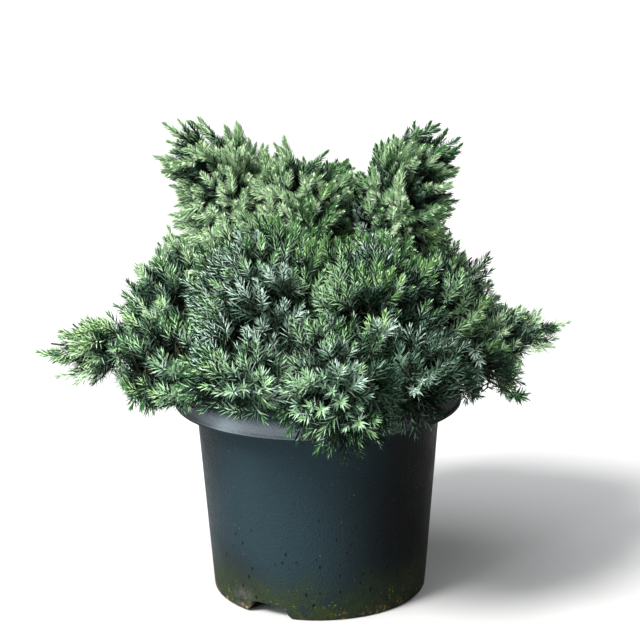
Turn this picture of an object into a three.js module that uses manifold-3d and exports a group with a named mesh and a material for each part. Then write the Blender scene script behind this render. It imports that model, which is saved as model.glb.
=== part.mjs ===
// Blue star juniper: a dense, low, spreading conifer in a round plastic nursery pot.
// Millimetres, +Z up. The origin is the middle of the pot's flat underside, -Y is the front and +X the right.
// The pot holds compost, a short trunk stands in it, one bough runs from the trunk to each mass of foliage,
// and each mass is a stem, a small dense core and flat sprays of needles that stand out of the core.
import * as THREE from "three";
import { mergeVertices } from "three/addons/utils/BufferGeometryUtils.js";
import Module from "manifold-3d";

const wasm = await Module();
wasm.setup();

// ---- Driving dimensions ----

const CLEARANCE = 0.3; // between pieces that touch
const MERGE = 1e-3; // corners this close are one corner
const SLIVER = 0.06; // edges of this length are closed up after a boolean

const POT = {
  height: 187,
  footRadius: 86.5,
  shoulderRadius: 98, // the body just under the collar
  shoulderHeight: 155.5,
  collarRadius: 115, // the collar's lower edge, the widest place
  collarEdge: 4, // how tall the collar's lower edge is
  collarRound: 1.6,
  mouthRadius: 110.5,
  mouthRound: 0.8,
  wall: 2,
  footRound: 3,
  floorRise: 11, // the floor stands this far above the ground
  floorThickness: 2.2,
  floorRound: 4.5,
  footRingWidth: 6,
  padRadius: 20, // the support pad in the middle of the underside
  draft: 1.5, // how much the ring and the pad widen up to the floor
  segments: 48,
};
const NOTCH = { count: 3, firstAngle: -121.5, width: 29, height: 11, crownWidth: 18, depth: 24, below: 1 };
const DRAIN = { count: 6, radius: 5, circle: 52, sides: 8 };

const COMPOST = { top: 170, edgeDrop: 4, wallGap: 1, seatRadius: 22, moundRadius: 52, segments: 24 };

const TRUNK = {
  foot: new THREE.Vector3(5, 5, COMPOST.top + CLEARANCE),
  fork: new THREE.Vector3(0, 9, 216),
  flareRadius: 14.5,
  flareHeight: 10,
  lowerRadius: 9.4,
  forkRadius: 7.8,
  lobes: 5, // the root flare's
  lobeDepth: 0.14,
  endCut: 3, // both ends are cut level within this
  sides: 10,
  steps: 5,
};
// A leader is a bough that carries on up from the fork. A rise is a bough's slope where it leaves the trunk.
const BOUGH = {
  side: { base: 3.3, tip: 1.9, rise: 0.25 },
  leader: { base: 4.1, tip: 2.4, rise: 1.3 },
  bendOut: 0.36, // the curve's two handles, as shares of its run
  bendIn: 0.34,
  intoMass: 2, // how far a bough reaches into the space of its mass
  sides: 6,
  steps: 5,
};

// The space round the fork where only boughs run.
const HEART = { centre: new THREE.Vector3(0, 8, 200), radius: 36 };

const SPRAY = {
  directions: 40, // how many directions each mass tries
  most: 18, // how many sprays a mass keeps
  shortest: 22,
  rootShare: 0.32, // where a spray starts, as a share of the way from the middle to its tip
  halfWidth: 0.27, // these four are shares of the spray's length
  ripple: 0.09,
  ribThickness: 0.06,
  hub: 0.6,
  jitter: 0.32, // how far a spray's direction strays
  boughGap: 5, // a spray nearer than this to a bough's line is left out
  widths: [1, 0.72, 0.5], // a spray that finds no room is tried narrower
};
const CORE = { share: 0.64, inset: 3 }; // its size as a share of its mass, and its gap to the space's end
const STEM_TAPER = 0.3;
const TAIL = 0.8; // how much longer a mass is towards the heart
const MASS_GAP = 1.2; // between the spaces of two masses
const POT_GAP = 1.5; // between foliage and pot

// Each mass: its middle, its half sizes [along its growth, level across it, and square to both],
// the height on the trunk where its bough starts, and whether the bough carries on up from the fork.
const MASSES = [
  { name: "upper_left", middle: [-72, 16, 323], half: [70, 54, 48], from: 202, leader: true },
  { name: "upper_middle", middle: [-15, 2, 314], half: [54, 54, 56], from: 213, leader: true },
  { name: "upper_right", middle: [68, 12, 315], half: [74, 54, 46], from: 205, leader: true },
  { name: "upper_back", middle: [4, 80, 274], half: [68, 68, 62], from: 207, leader: true },
  { name: "left_shoulder", middle: [-102, -18, 239], half: [58, 60, 54], from: 199 },
  { name: "right_shoulder", middle: [89, -22, 241], half: [56, 60, 46], from: 198 },
  { name: "front_high", middle: [-40, -74, 266], half: [62, 60, 58], from: 208 },
  { name: "front_right_high", middle: [40, -84, 254], half: [60, 56, 58], from: 203 },
  { name: "front_right_low", middle: [70, -110, 205], half: [58, 48, 50], from: 190 },
  { name: "front_low", middle: [14, -134, 200], half: [58, 48, 60], from: 181 },
  { name: "front_left_low", middle: [-54, -116, 206], half: [56, 52, 50], from: 191 },
  { name: "left_low", middle: [-112, -62, 202], half: [56, 50, 42], from: 186 },
  { name: "far_left", middle: [-166, 6, 198], half: [70, 46, 30], from: 188 },
  { name: "far_right", middle: [146, 2, 203], half: [62, 48, 32], from: 187 },
  { name: "right_low", middle: [113, -52, 194], half: [52, 46, 32], from: 182 },
  { name: "back_left", middle: [-93, 83, 219], half: [70, 70, 66], from: 196 },
  { name: "back_middle", middle: [-4, 131, 206], half: [68, 66, 62], from: 193 },
  { name: "back_right", middle: [89, 86, 219], half: [70, 70, 66], from: 194 },
].map((mass, index) => {
  const middle = new THREE.Vector3(...mass.middle);
  const growth = middle.clone().sub(HEART.centre).normalize();
  const across = new THREE.Vector3(0, 0, 1).cross(growth).normalize();
  const radius = (mass.half[0] + mass.half[1] + mass.half[2]) / 3;
  const axes = [growth, across, growth.clone().cross(across)];
  return { ...mass, middle, radius, axes, seed: 101 + 37 * index };
});

// ---- Materials ----

const finish = (color, roughness) => new THREE.MeshStandardMaterial({ color, roughness, metalness: 0 });
const plastic = finish(0x26353b, 0.55);
const compostBrown = finish(0x2b211a, 0.95);
const bark = finish(0x5a4433, 0.9);
const foliage = finish(0x4f7a66, 0.75);

// ---- Helpers ----

// A stream of numbers from 0 to 1 that depends only on the seed.
function seededStream(seed) {
  const modulus = 2147483647;
  let state = seed;
  return () => {
    state = (state * 48271) % modulus;
    return state / modulus;
  };
}

// A closed geometry as a solid that can be joined and cut.
function solid(geometry) {
  const bare = geometry.clone();
  bare.deleteAttribute("normal");
  bare.deleteAttribute("uv");
  const merged = mergeVertices(bare, MERGE);
  return new wasm.Manifold(
    new wasm.Mesh({
      numProp: 3,
      vertProperties: new Float32Array(merged.attributes.position.array),
      triVerts: new Uint32Array(merged.index.array),
    }),
  );
}

function geometryOf(made) {
  const { vertProperties, triVerts } = made.getMesh();
  const geometry = new THREE.BufferGeometry();
  geometry.setAttribute("position", new THREE.BufferAttribute(new Float32Array(vertProperties), 3));
  geometry.setIndex(new THREE.BufferAttribute(new Uint32Array(triVerts), 1));
  geometry.computeVertexNormals();
  return geometry;
}

// The largest body of a solid, with no slivers, loose scraps or sealed hollows left in it.
function tidied(made) {
  const bodies = solid(geometryOf(made.simplify(SLIVER))).decompose();
  return bodies.reduce((best, body) => (body.volume() > best.volume() ? body : best));
}

// LatheGeometry turns about Y, and this object's axis is Z.
function turned(profile, segments) {
  const points = profile.map(([radius, height]) => new THREE.Vector2(radius, height));
  return new THREE.LatheGeometry(points, segments).rotateX(Math.PI / 2);
}

// A round limb along a curve, its ends closed. radiusAt takes the share of the length and the angle round it.
function limb(curve, radiusAt, sides, steps) {
  const geometry = new THREE.CylinderGeometry(1, 1, 1, sides, steps);
  const frames = curve.computeFrenetFrames(steps, false);
  const place = geometry.attributes.position;
  for (let i = 0; i < place.count; i++) {
    const across = new THREE.Vector2(place.getX(i), place.getZ(i));
    const share = place.getY(i) + 0.5;
    const step = Math.round(share * steps);
    const radius = radiusAt(share, across.angle()) * across.length();
    const point = curve.getPointAt(share);
    point.addScaledVector(frames.normals[step], radius * Math.cos(across.angle()));
    point.addScaledVector(frames.binormals[step], -radius * Math.sin(across.angle()));
    place.setXYZ(i, point.x, point.y, point.z);
  }
  return geometry;
}

// ---- Pot and compost ----

// The radius of the pot's outer wall at a height.
function potRadius(z) {
  if (z < POT.shoulderHeight)
    return THREE.MathUtils.lerp(POT.footRadius, POT.shoulderRadius, z / POT.shoulderHeight);
  const share = (z - POT.shoulderHeight) / (POT.height - POT.shoulderHeight);
  return THREE.MathUtils.lerp(POT.collarRadius, POT.mouthRadius, share);
}

function potShell() {
  const { footRadius, shoulderRadius, shoulderHeight, collarRadius, mouthRadius, height, wall } = POT;
  const { footRound, collarRound, mouthRound, floorRound, floorRise, padRadius, draft } = POT;
  const floorTop = floorRise + POT.floorThickness;
  const collarFoot = shoulderHeight + collarRound;
  const ringInside = footRadius - POT.footRingWidth;
  const profile = [
    [0, 0],
    [padRadius - draft, 0],
    [padRadius, floorRise],
    [ringInside - draft, floorRise],
    [ringInside, 0],
    [footRadius - footRound, 0],
    [footRadius - footRound * 0.3, footRound * 0.3],
    [potRadius(footRound), footRound],
    [shoulderRadius, shoulderHeight],
    [collarRadius - collarRound, shoulderHeight],
    [collarRadius, collarFoot],
    [collarRadius - 0.4, collarFoot + POT.collarEdge],
    [mouthRadius + mouthRound, height - 2 * mouthRound],
    [mouthRadius, height],
    [mouthRadius - wall, height],
    [collarRadius - wall - mouthRound, collarFoot + POT.collarEdge],
    [shoulderRadius - wall, shoulderHeight - wall / 2],
    [potRadius(floorTop + floorRound) - wall, floorTop + floorRound],
    [potRadius(floorTop) - wall - floorRound, floorTop],
    [0, floorTop],
  ];
  return solid(turned(profile, POT.segments));
}

// An arch that runs in from the wall, for water to leave by.
function notchCutter(angle) {
  const { width, crownWidth, height, depth, below } = NOTCH;
  const arch = new THREE.Shape();
  arch.moveTo(-width / 2, -below);
  arch.lineTo(width / 2, -below);
  arch.quadraticCurveTo(crownWidth / 2 + below, height / 3, crownWidth / 2, height);
  arch.lineTo(-crownWidth / 2, height);
  arch.quadraticCurveTo(-crownWidth / 2 - below, height / 3, -width / 2, -below);
  const cutter = new THREE.ExtrudeGeometry(arch, { depth, bevelEnabled: false, curveSegments: 4 });
  cutter.rotateX(Math.PI / 2).rotateZ(Math.PI / 2);
  cutter.translate(POT.footRadius - 0.6 * depth, 0, 0);
  return solid(cutter.rotateZ(angle));
}

function drainCutter(angle) {
  const hole = new THREE.CylinderGeometry(DRAIN.radius, DRAIN.radius, 3 * POT.floorThickness, DRAIN.sides);
  hole.rotateX(Math.PI / 2).translate(DRAIN.circle, 0, POT.floorRise + POT.floorThickness / 2);
  return solid(hole.rotateZ(angle));
}

function makePot() {
  let pot = potShell();
  for (let i = 0; i < NOTCH.count; i++) {
    const angle = THREE.MathUtils.degToRad(NOTCH.firstAngle + (360 * i) / NOTCH.count);
    pot = pot.subtract(notchCutter(angle));
  }
  for (let i = 0; i < DRAIN.count; i++) pot = pot.subtract(drainCutter((2 * Math.PI * i) / DRAIN.count));
  return pot;
}

function makeCompost() {
  const { top, edgeDrop, wallGap, seatRadius, moundRadius } = COMPOST;
  const inset = POT.wall + wallGap;
  const bottom = POT.floorRise + POT.floorThickness + CLEARANCE;
  const ledge = POT.shoulderHeight + wallGap / 2;
  const rim = top - edgeDrop;
  const profile = [
    [0, bottom],
    [potRadius(bottom) - inset - POT.floorRound, bottom],
    [potRadius(bottom + POT.floorRound) - inset, bottom + POT.floorRound + wallGap],
    [POT.shoulderRadius - inset, ledge],
    [POT.collarRadius - inset - edgeDrop, ledge + 7 * wallGap],
    [POT.collarRadius - inset - edgeDrop, rim],
    [moundRadius, top - wallGap],
    [seatRadius, top],
    [0, top],
  ];
  return solid(turned(profile, COMPOST.segments));
}

// ---- Trunk and boughs ----

const trunkCurve = new THREE.LineCurve3(TRUNK.foot, TRUNK.fork);

// The trunk swells into a lobed root flare at its foot and narrows up to the fork.
function makeTrunk(extra = 0) {
  const length = trunkCurve.getLength();
  const radiusAt = (share, angle) => {
    const flare = Math.max(0, 1 - (share * length) / (2 * TRUNK.flareHeight));
    const lobes = 1 + TRUNK.lobeDepth * flare * Math.cos(TRUNK.lobes * angle);
    const plain = THREE.MathUtils.lerp(TRUNK.lowerRadius, TRUNK.forkRadius, share);
    return THREE.MathUtils.lerp(plain, TRUNK.flareRadius, flare ** 2) * lobes + extra;
  };
  const trunk = limb(trunkCurve, radiusAt, TRUNK.sides, TRUNK.steps);
  const place = trunk.attributes.position;
  for (let i = 0; i < place.count; i++) {
    // Both ends are cut level, and a grown trunk reaches past them.
    if (place.getZ(i) < TRUNK.foot.z + TRUNK.endCut) place.setZ(i, TRUNK.foot.z - extra);
    if (place.getZ(i) > TRUNK.fork.z - TRUNK.endCut) place.setZ(i, TRUNK.fork.z + extra);
  }
  return solid(trunk);
}

// Where the line from the heart to the mass's middle enters the mass's own space.
function stemFoot(mass) {
  const inward = mass.axes[0].clone().negate();
  const back = Math.min(reachInCell(mass, inward), ownReach(mass, inward));
  return mass.middle.clone().addScaledVector(inward, back - BOUGH.intoMass);
}

const boughSize = (mass) => (mass.leader ? BOUGH.leader : BOUGH.side);

// The line of a mass's bough, from inside the trunk to just short of the mass's stem.
function boughCurve(mass) {
  const end = stemFoot(mass);
  const along = mass.middle.clone().sub(end).normalize();
  const share = (mass.from - TRUNK.foot.z) / (TRUNK.fork.z - TRUNK.foot.z);
  const start = trunkCurve.getPoint(share);
  const out = end.clone().sub(start).setZ(0).normalize();
  const run = end.distanceTo(start);
  const lead = out.clone().setZ(boughSize(mass).rise).normalize();
  const second = start.clone().addScaledVector(lead, BOUGH.bendOut * run);
  const last = end.clone().addScaledVector(along, -CLEARANCE);
  const third = last.clone().addScaledVector(along, -BOUGH.bendIn * run);
  return new THREE.CubicBezierCurve3(start, second, third, last);
}

function makeBough(mass, extra = 0) {
  const { base, tip } = boughSize(mass);
  const radiusAt = (share) => THREE.MathUtils.lerp(base, tip, share) + extra;
  return solid(limb(mass.bough, radiusAt, BOUGH.sides, BOUGH.steps));
}

// ---- Masses of foliage ----

// Every mass and the heart have a ball. The space of a mass is bounded by one plane against each other ball.
function cellPlanes(mass) {
  const others = [...MASSES.filter((other) => other !== mass), HEART];
  return others.map((other) => {
    const toward = (other.middle ?? other.centre).clone().sub(mass.middle);
    const apart = toward.length();
    const distance = (apart ** 2 + mass.radius ** 2 - other.radius ** 2) / (2 * apart) - MASS_GAP / 2;
    return { normal: toward.normalize(), distance };
  });
}

// How far the mass's space runs from its middle in a direction.
function reachInCell(mass, direction) {
  return Math.min(
    ...mass.planes.map(({ normal, distance }) => {
      const slope = normal.dot(direction);
      return slope > 1e-6 ? distance / slope : Infinity;
    }),
  );
}

// How far a mass runs by itself: an ellipsoid along its growth, with a tail drawn in towards the heart.
function ownReach(mass, direction) {
  const shares = mass.axes.map((axis, i) => axis.dot(direction) / mass.half[i]);
  const inward = Math.max(0, -mass.axes[0].dot(direction));
  return (1 + TAIL * inward ** 3) / Math.hypot(...shares);
}

function clearOfPot(point) {
  const inside = Math.hypot(point.x, point.y) < potRadius(Math.max(0, point.z)) + POT_GAP;
  return !(inside && point.z < POT.height + POT_GAP);
}

function inOwnSpace(mass, point) {
  const fromMiddle = point.clone().sub(mass.middle);
  return clearOfPot(point) && mass.planes.every(({ normal, distance }) => normal.dot(fromMiddle) < distance);
}

function clearOfBoughs(root, tip) {
  const samples = [0.3, 0.45, 0.6, 0.75, 0.9].map((share) => root.clone().lerp(tip, share));
  const clear = (point) => samples.every((sample) => sample.distanceTo(point) > SPRAY.boughGap);
  return MASSES.every(({ bough }) => bough.getPoints(8).every(clear));
}

// The outline of one side of a spray, as shares of its length and half width, from root to apex.
const SPRAY_SIDE = [
  { along: 0.56, across: 1, lift: 1 },
  { along: 0.66, across: 0.45, lift: 0 },
  { along: 0.82, across: 0.66, lift: -1 },
];

// A toothed blade of needles: two fans of triangles, above and below, that share one rippled outline.
function sprayGeometry(root, tip, roll, widthShare) {
  const axis = tip.clone().sub(root);
  const length = axis.length();
  axis.normalize();
  const level = Math.abs(axis.z) < 0.9 ? new THREE.Vector3(0, 0, 1) : new THREE.Vector3(1, 0, 0);
  const side = level.cross(axis).normalize().applyAxisAngle(axis, roll);
  const up = axis.clone().cross(side);
  const at = (along, across, lift) =>
    root
      .clone()
      .addScaledVector(axis, along * length)
      .addScaledVector(side, across * SPRAY.halfWidth * widthShare * length)
      .addScaledVector(up, lift * length);
  const right = SPRAY_SIDE.map((p) => at(p.along, p.across, p.lift * SPRAY.ripple));
  const left = SPRAY_SIDE.map((p) => at(p.along, -p.across, p.lift * SPRAY.ripple)).reverse();
  const outline = [at(0, 0, 0), ...right, at(1, 0, 0), ...left];
  const hubs = [at(SPRAY.hub, 0, SPRAY.ribThickness / 2), at(SPRAY.hub, 0, -SPRAY.ribThickness / 2)];
  const faces = outline.flatMap((_, i) => {
    const next = (i + 1) % outline.length;
    return [outline.length, next, i, outline.length + 1, i, next];
  });
  const geometry = new THREE.BufferGeometry().setFromPoints([...outline, ...hubs]);
  return geometry.setIndex(faces);
}

// The spray that fits in the mass's space, narrower where it must be, or nothing.
function fittedSpray(mass, root, tip, roll) {
  for (const widthShare of SPRAY.widths) {
    const geometry = sprayGeometry(root, tip, roll, widthShare);
    const place = geometry.attributes.position;
    const corner = (i) => new THREE.Vector3().fromBufferAttribute(place, i);
    const corners = Array.from({ length: place.count }, (_, i) => corner(i));
    if (corners.every((point) => inOwnSpace(mass, point))) return geometry;
  }
  return null;
}

// Sprays point to spots spread evenly over the mass by the golden angle, those that face outwards first.
function sprays(mass) {
  const random = seededStream(mass.seed);
  const golden = Math.PI * (3 - Math.sqrt(5));
  const tried = [];
  for (let i = 0; i < SPRAY.directions; i++) {
    const z = 1 - (2 * i + 1) / SPRAY.directions;
    const ring = Math.sqrt(1 - z * z);
    const direction = new THREE.Vector3(ring * Math.cos(golden * i), ring * Math.sin(golden * i), z);
    const nudge = new THREE.Vector3(random() - 0.5, random() - 0.5, random() - 0.5);
    direction.addScaledVector(nudge, SPRAY.jitter).normalize();
    const own = ownReach(mass, direction);
    const reach = Math.min(own * (0.92 + 0.16 * random()), reachInCell(mass, direction) - 1);
    const roll = 2 * Math.PI * random();
    const tip = mass.middle.clone().addScaledVector(direction, reach);
    const root = mass.middle.clone().addScaledVector(direction, SPRAY.rootShare * reach);
    const shown = reach / own + 0.4 * direction.dot(mass.axes[0]);
    if (root.distanceTo(tip) > SPRAY.shortest) tried.push({ root, tip, roll, shown });
  }
  tried.sort((a, b) => b.shown - a.shown);
  const kept = [];
  for (const { root, tip, roll } of tried) {
    if (kept.length === SPRAY.most || !clearOfBoughs(root, tip)) continue;
    const geometry = fittedSpray(mass, root, tip, roll);
    if (geometry) kept.push(geometry);
  }
  return kept;
}

// The dense inside of a mass: a blunt ball, held inside the mass's space.
function makeCore(mass) {
  const core = new THREE.IcosahedronGeometry(1, 1);
  const place = core.attributes.position;
  for (let i = 0; i < place.count; i++) {
    const direction = new THREE.Vector3().fromBufferAttribute(place, i).normalize();
    const room = reachInCell(mass, direction) - CORE.inset;
    const reach = Math.min(ownReach(mass, direction) * CORE.share, room);
    const point = mass.middle.clone().addScaledVector(direction, reach);
    place.setXYZ(i, point.x, point.y, point.z);
  }
  return solid(core);
}

function makeStem(mass) {
  const start = stemFoot(mass);
  const line = new THREE.LineCurve3(start, mass.middle);
  return solid(limb(line, (share) => boughSize(mass).tip * (1 - STEM_TAPER * share), 4, 1));
}

// The pot and all it holds, grown by the gap that foliage keeps from it.
function makePotRoom() {
  const profile = [
    [0, 0],
    [potRadius(0) + POT_GAP, 0],
    [POT.shoulderRadius + POT_GAP, POT.shoulderHeight - POT_GAP],
    [POT.collarRadius + POT_GAP, POT.shoulderHeight - POT_GAP],
    [POT.collarRadius + POT_GAP, POT.shoulderHeight + POT.collarEdge + POT_GAP],
    [POT.mouthRadius + POT_GAP, POT.height + POT_GAP],
    [0, POT.height + POT_GAP],
  ];
  return solid(turned(profile, COMPOST.segments));
}

function makeMass(mass) {
  let made = makeCore(mass).add(makeStem(mass));
  for (const spray of sprays(mass)) made = made.add(solid(spray));
  made = made.subtract(makePotRoom());
  for (const other of MASSES) made = made.subtract(makeBough(other, CLEARANCE));
  return made;
}

// ---- Assembly ----

for (const mass of MASSES) mass.planes = cellPlanes(mass);
for (const mass of MASSES) mass.bough = boughCurve(mass);

const juniper = new THREE.Group();

function addPiece(name, made, material) {
  const mesh = new THREE.Mesh(geometryOf(tidied(made)), material);
  mesh.name = name;
  juniper.add(mesh);
}

addPiece("pot", makePot(), plastic);
addPiece("compost", makeCompost(), compostBrown);
addPiece("trunk", makeTrunk(), bark);
let limbsSoFar = makeTrunk(CLEARANCE);
for (const mass of MASSES) {
  addPiece(`bough_${mass.name}`, makeBough(mass).subtract(limbsSoFar), bark);
  addPiece(`foliage_${mass.name}`, makeMass(mass), foliage);
  limbsSoFar = limbsSoFar.add(makeBough(mass, CLEARANCE));
}

export default juniper;
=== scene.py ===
"""Blue star juniper in a round plastic nursery pot: the looks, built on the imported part.

The rules that place the foliage work in the part's millimetres. Every mesh is made in metres, in the part's
own frame: +Z up, -Y the front, the origin in the middle of the pot's flat underside.
"""

import logging
import math
from collections.abc import Iterator, Sequence
from dataclasses import dataclass, field, replace
from enum import Enum, IntEnum
from typing import Any

import bmesh
import bpy
import numpy as np
from bpy.types import ID, Light, Material, Mesh, Node, NodeSocket as Socket, NodeTree, Object
from mathutils import Matrix, Vector, noise


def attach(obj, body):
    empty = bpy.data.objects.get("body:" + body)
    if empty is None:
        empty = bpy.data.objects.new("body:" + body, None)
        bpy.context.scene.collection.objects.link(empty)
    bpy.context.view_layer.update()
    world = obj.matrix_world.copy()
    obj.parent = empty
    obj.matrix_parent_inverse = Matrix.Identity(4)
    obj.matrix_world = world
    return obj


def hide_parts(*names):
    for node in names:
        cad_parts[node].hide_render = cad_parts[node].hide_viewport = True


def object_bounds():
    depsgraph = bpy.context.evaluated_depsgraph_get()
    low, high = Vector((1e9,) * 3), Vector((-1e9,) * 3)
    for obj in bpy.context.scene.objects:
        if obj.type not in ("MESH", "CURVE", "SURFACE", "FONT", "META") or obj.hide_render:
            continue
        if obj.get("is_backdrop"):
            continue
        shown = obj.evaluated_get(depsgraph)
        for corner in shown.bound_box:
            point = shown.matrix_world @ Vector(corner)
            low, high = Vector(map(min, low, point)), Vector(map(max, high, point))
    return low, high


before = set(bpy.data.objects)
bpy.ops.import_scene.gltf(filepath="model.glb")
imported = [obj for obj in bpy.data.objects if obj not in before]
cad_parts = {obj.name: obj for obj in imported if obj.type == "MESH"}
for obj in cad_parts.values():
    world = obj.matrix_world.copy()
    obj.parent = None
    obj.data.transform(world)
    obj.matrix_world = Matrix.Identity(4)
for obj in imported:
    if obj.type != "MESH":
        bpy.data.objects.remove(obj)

MM = 0.001
BODY = "root"
GOLDEN_ANGLE = math.pi * (3 - math.sqrt(5))
UP = np.array([0.0, 0.0, 1.0])

Array = np.ndarray

log = logging.getLogger("juniper")


class Slot(str, Enum):
    """The record's material slots."""

    POT = "pot_plastic"
    COMPOST = "compost"
    BARK = "bark"
    FOLIAGE = "foliage"


# ---- Node trees ----

Span = tuple[float, float]
Colour = tuple[float, float, float]
Point = tuple[float, float, float]
Fade = tuple[float, float, float]


@dataclass
class Wiring:
    """A short way to add and link the nodes of one tree.

    Args:
        tree: The node tree that the nodes go into.
    """

    tree: NodeTree

    def add(self, kind: str, sockets: dict[Any, Any] | None = None, **settings: Any) -> Node:
        """Adds a node.

        Args:
            kind: The node's type.
            sockets: What each input gets, by name or number: a socket to link from, or a value.
            settings: The node's own properties.

        Returns:
            The new node.
        """
        node = self.tree.nodes.new(kind)
        for name, value in settings.items():
            setattr(node, name, value)
        for key, value in (sockets or {}).items():
            if isinstance(value, Socket):
                self.tree.links.new(value, node.inputs[key])
            else:
                node.inputs[key].default_value = value
        return node

    def out(self, kind: str, sockets: dict[Any, Any] | None = None, **settings: Any) -> Socket:
        """Adds a node and takes its first output."""
        return self.add(kind, sockets, **settings).outputs[0]

    def math(self, operation: str, *values: Any) -> Socket:
        """Works on sockets or numbers by a Math node."""
        return self.out("ShaderNodeMath", dict(enumerate(values)), operation=operation)

    def times(self, first: Any, second: Any) -> Socket:
        """Multiplies two sockets or numbers."""
        return self.math("MULTIPLY", first, second)

    def plus(self, first: Any, second: Any) -> Socket:
        """Adds two sockets or numbers."""
        return self.math("ADD", first, second)

    def part(self, vector: Socket, axis: str) -> Socket:
        """Takes one axis of a vector."""
        return self.add("ShaderNodeSeparateXYZ", {0: vector}).outputs[axis]

    def spread(self, value: Any, low: Any, high: Any, start: Any, end: Any, smooth: bool = False) -> Socket:
        """Maps a value from one range to another, clamped.

        Args:
            value: The value.
            low: Where the first range starts.
            high: Where it ends.
            start: What its start becomes.
            end: What its end becomes.
            smooth: Whether it eases in and out.

        Returns:
            The mapped value.
        """
        kind = "SMOOTHSTEP" if smooth else "LINEAR"
        sockets = dict(enumerate((value, low, high, start, end)))
        return self.out("ShaderNodeMapRange", sockets, interpolation_type=kind)

    def mix(self, share: Any, first: Any, second: Any) -> Socket:
        """Mixes a share of the second colour into the first."""
        node = self.add("ShaderNodeMix", {0: share, 6: first, 7: second}, data_type="RGBA")
        return node.outputs[2]


@dataclass(frozen=True)
class Port:
    """One socket of a node group: its name, its kind and the value it starts with."""

    name: str
    kind: str = "NodeSocketFloat"
    value: Any = None


def new_tree(
    name: str, kind: str, inputs: Sequence[Port], outputs: Sequence[Port]
) -> tuple[Wiring, Node, Node]:
    """Makes a node group with named sockets.

    Args:
        name: The group's name.
        kind: The type of tree.
        inputs: Its input sockets.
        outputs: Its output sockets.

    Returns:
        The wiring, the group's input node and its output node.
    """
    tree = bpy.data.node_groups.new(name, kind)
    for in_out, ports in (("INPUT", inputs), ("OUTPUT", outputs)):
        for port in ports:
            socket = tree.interface.new_socket(port.name, in_out=in_out, socket_type=port.kind)
            if port.value is not None:
                socket.default_value = port.value
    wiring = Wiring(tree)
    return wiring, wiring.add("NodeGroupInput"), wiring.add("NodeGroupOutput")


VECTOR_PORT = Port("Vector", "NodeSocketVector")


class Effects:
    """The shader effects that several finishes share, each a node group with named sockets."""

    def __init__(self) -> None:
        """Builds the groups."""
        self.mottle = self._mottle()
        self.band = self._band()
        self.specks = self._specks()
        self.grain = self._grain()

    @staticmethod
    def _noise(w: Wiring, vector: Socket, scale: Socket, detail: float) -> Socket:
        """Adds a noise."""
        return w.out("ShaderNodeTexNoise", {"Vector": vector, "Scale": scale, "Detail": detail})

    @staticmethod
    def _drawn_out(w: Wiring, source: Node) -> Socket:
        """Draws the group's Vector out along Z by its Stretch.

        Args:
            w: The group's wiring.
            source: Its input node.

        Returns:
            The stretched place.
        """
        by = w.out("ShaderNodeCombineXYZ", {0: 1.0, 1: 1.0, 2: source.outputs["Stretch"]})
        factors = {0: source.outputs["Vector"], 1: by}
        return w.out("ShaderNodeVectorMath", factors, operation="MULTIPLY")

    @classmethod
    def _mottle(cls) -> NodeTree:
        """Makes a soft blotchy value between Low and High.

        Returns:
            The group.
        """
        ports = [VECTOR_PORT, Port("Scale", value=100.0), Port("Low", value=0.9), Port("High", value=1.1)]
        w, source, sink = new_tree("mottle", "ShaderNodeTree", ports, [Port("Value")])
        blotches = cls._noise(w, source.outputs["Vector"], source.outputs["Scale"], 3.0)
        value = w.spread(blotches, 0.3, 0.7, source.outputs["Low"], source.outputs["High"])
        w.tree.links.new(value, sink.inputs[0])
        return w.tree

    @classmethod
    def _band(cls) -> NodeTree:
        """Makes a mask that goes from 0 at the height From to 1 at the height To, with a ragged edge.

        Returns:
            The group.
        """
        ports = [VECTOR_PORT, Port("From"), Port("To"), Port("Wobble"), Port("Scale", value=30.0)]
        w, source, sink = new_tree("height band", "ShaderNodeTree", ports, [Port("Mask")])
        ragged = cls._noise(w, source.outputs["Vector"], source.outputs["Scale"], 5.0)
        shift = w.times(w.math("SUBTRACT", ragged, 0.5), source.outputs["Wobble"])
        raised = w.plus(w.part(source.outputs["Vector"], "Z"), shift)
        mask = w.spread(raised, source.outputs["From"], source.outputs["To"], 0.0, 1.0, smooth=True)
        w.tree.links.new(mask, sink.inputs[0])
        return w.tree

    @classmethod
    def _specks(cls) -> NodeTree:
        """Makes a mask of small specks: a Share of the cells has one, of up to Size of a cell.

        Returns:
            The group.
        """
        ports = [VECTOR_PORT, Port("Scale", value=300.0), Port("Size", value=0.3), Port("Share", value=0.2)]
        ports += [Port("Stretch", value=1.0)]
        w, source, sink = new_tree("specks", "ShaderNodeTree", ports, [Port("Mask")])
        place = cls._drawn_out(w, source)
        cells = w.add("ShaderNodeTexVoronoi", {"Vector": place, "Scale": source.outputs["Scale"]})
        dice = w.add("ShaderNodeSeparateColor", {0: cells.outputs["Color"]})
        radius = w.times(source.outputs["Size"], dice.outputs[1])
        inside = w.spread(cells.outputs["Distance"], w.times(radius, 0.6), radius, 1.0, 0.0)
        chosen = w.math("LESS_THAN", dice.outputs[0], source.outputs["Share"])
        w.tree.links.new(w.times(inside, chosen), sink.inputs[0])
        return w.tree

    @classmethod
    def _grain(cls) -> NodeTree:
        """Makes a height of fine grain.

        Returns:
            The group.
        """
        ports = [VECTOR_PORT, Port("Scale", value=800.0), Port("Stretch", value=1.0)]
        w, source, sink = new_tree("grain", "ShaderNodeTree", ports, [Port("Height")])
        fine = cls._noise(w, cls._drawn_out(w, source), source.outputs["Scale"], 2.0)
        w.tree.links.new(fine, sink.inputs[0])
        return w.tree


EFFECTS = Effects()


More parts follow.
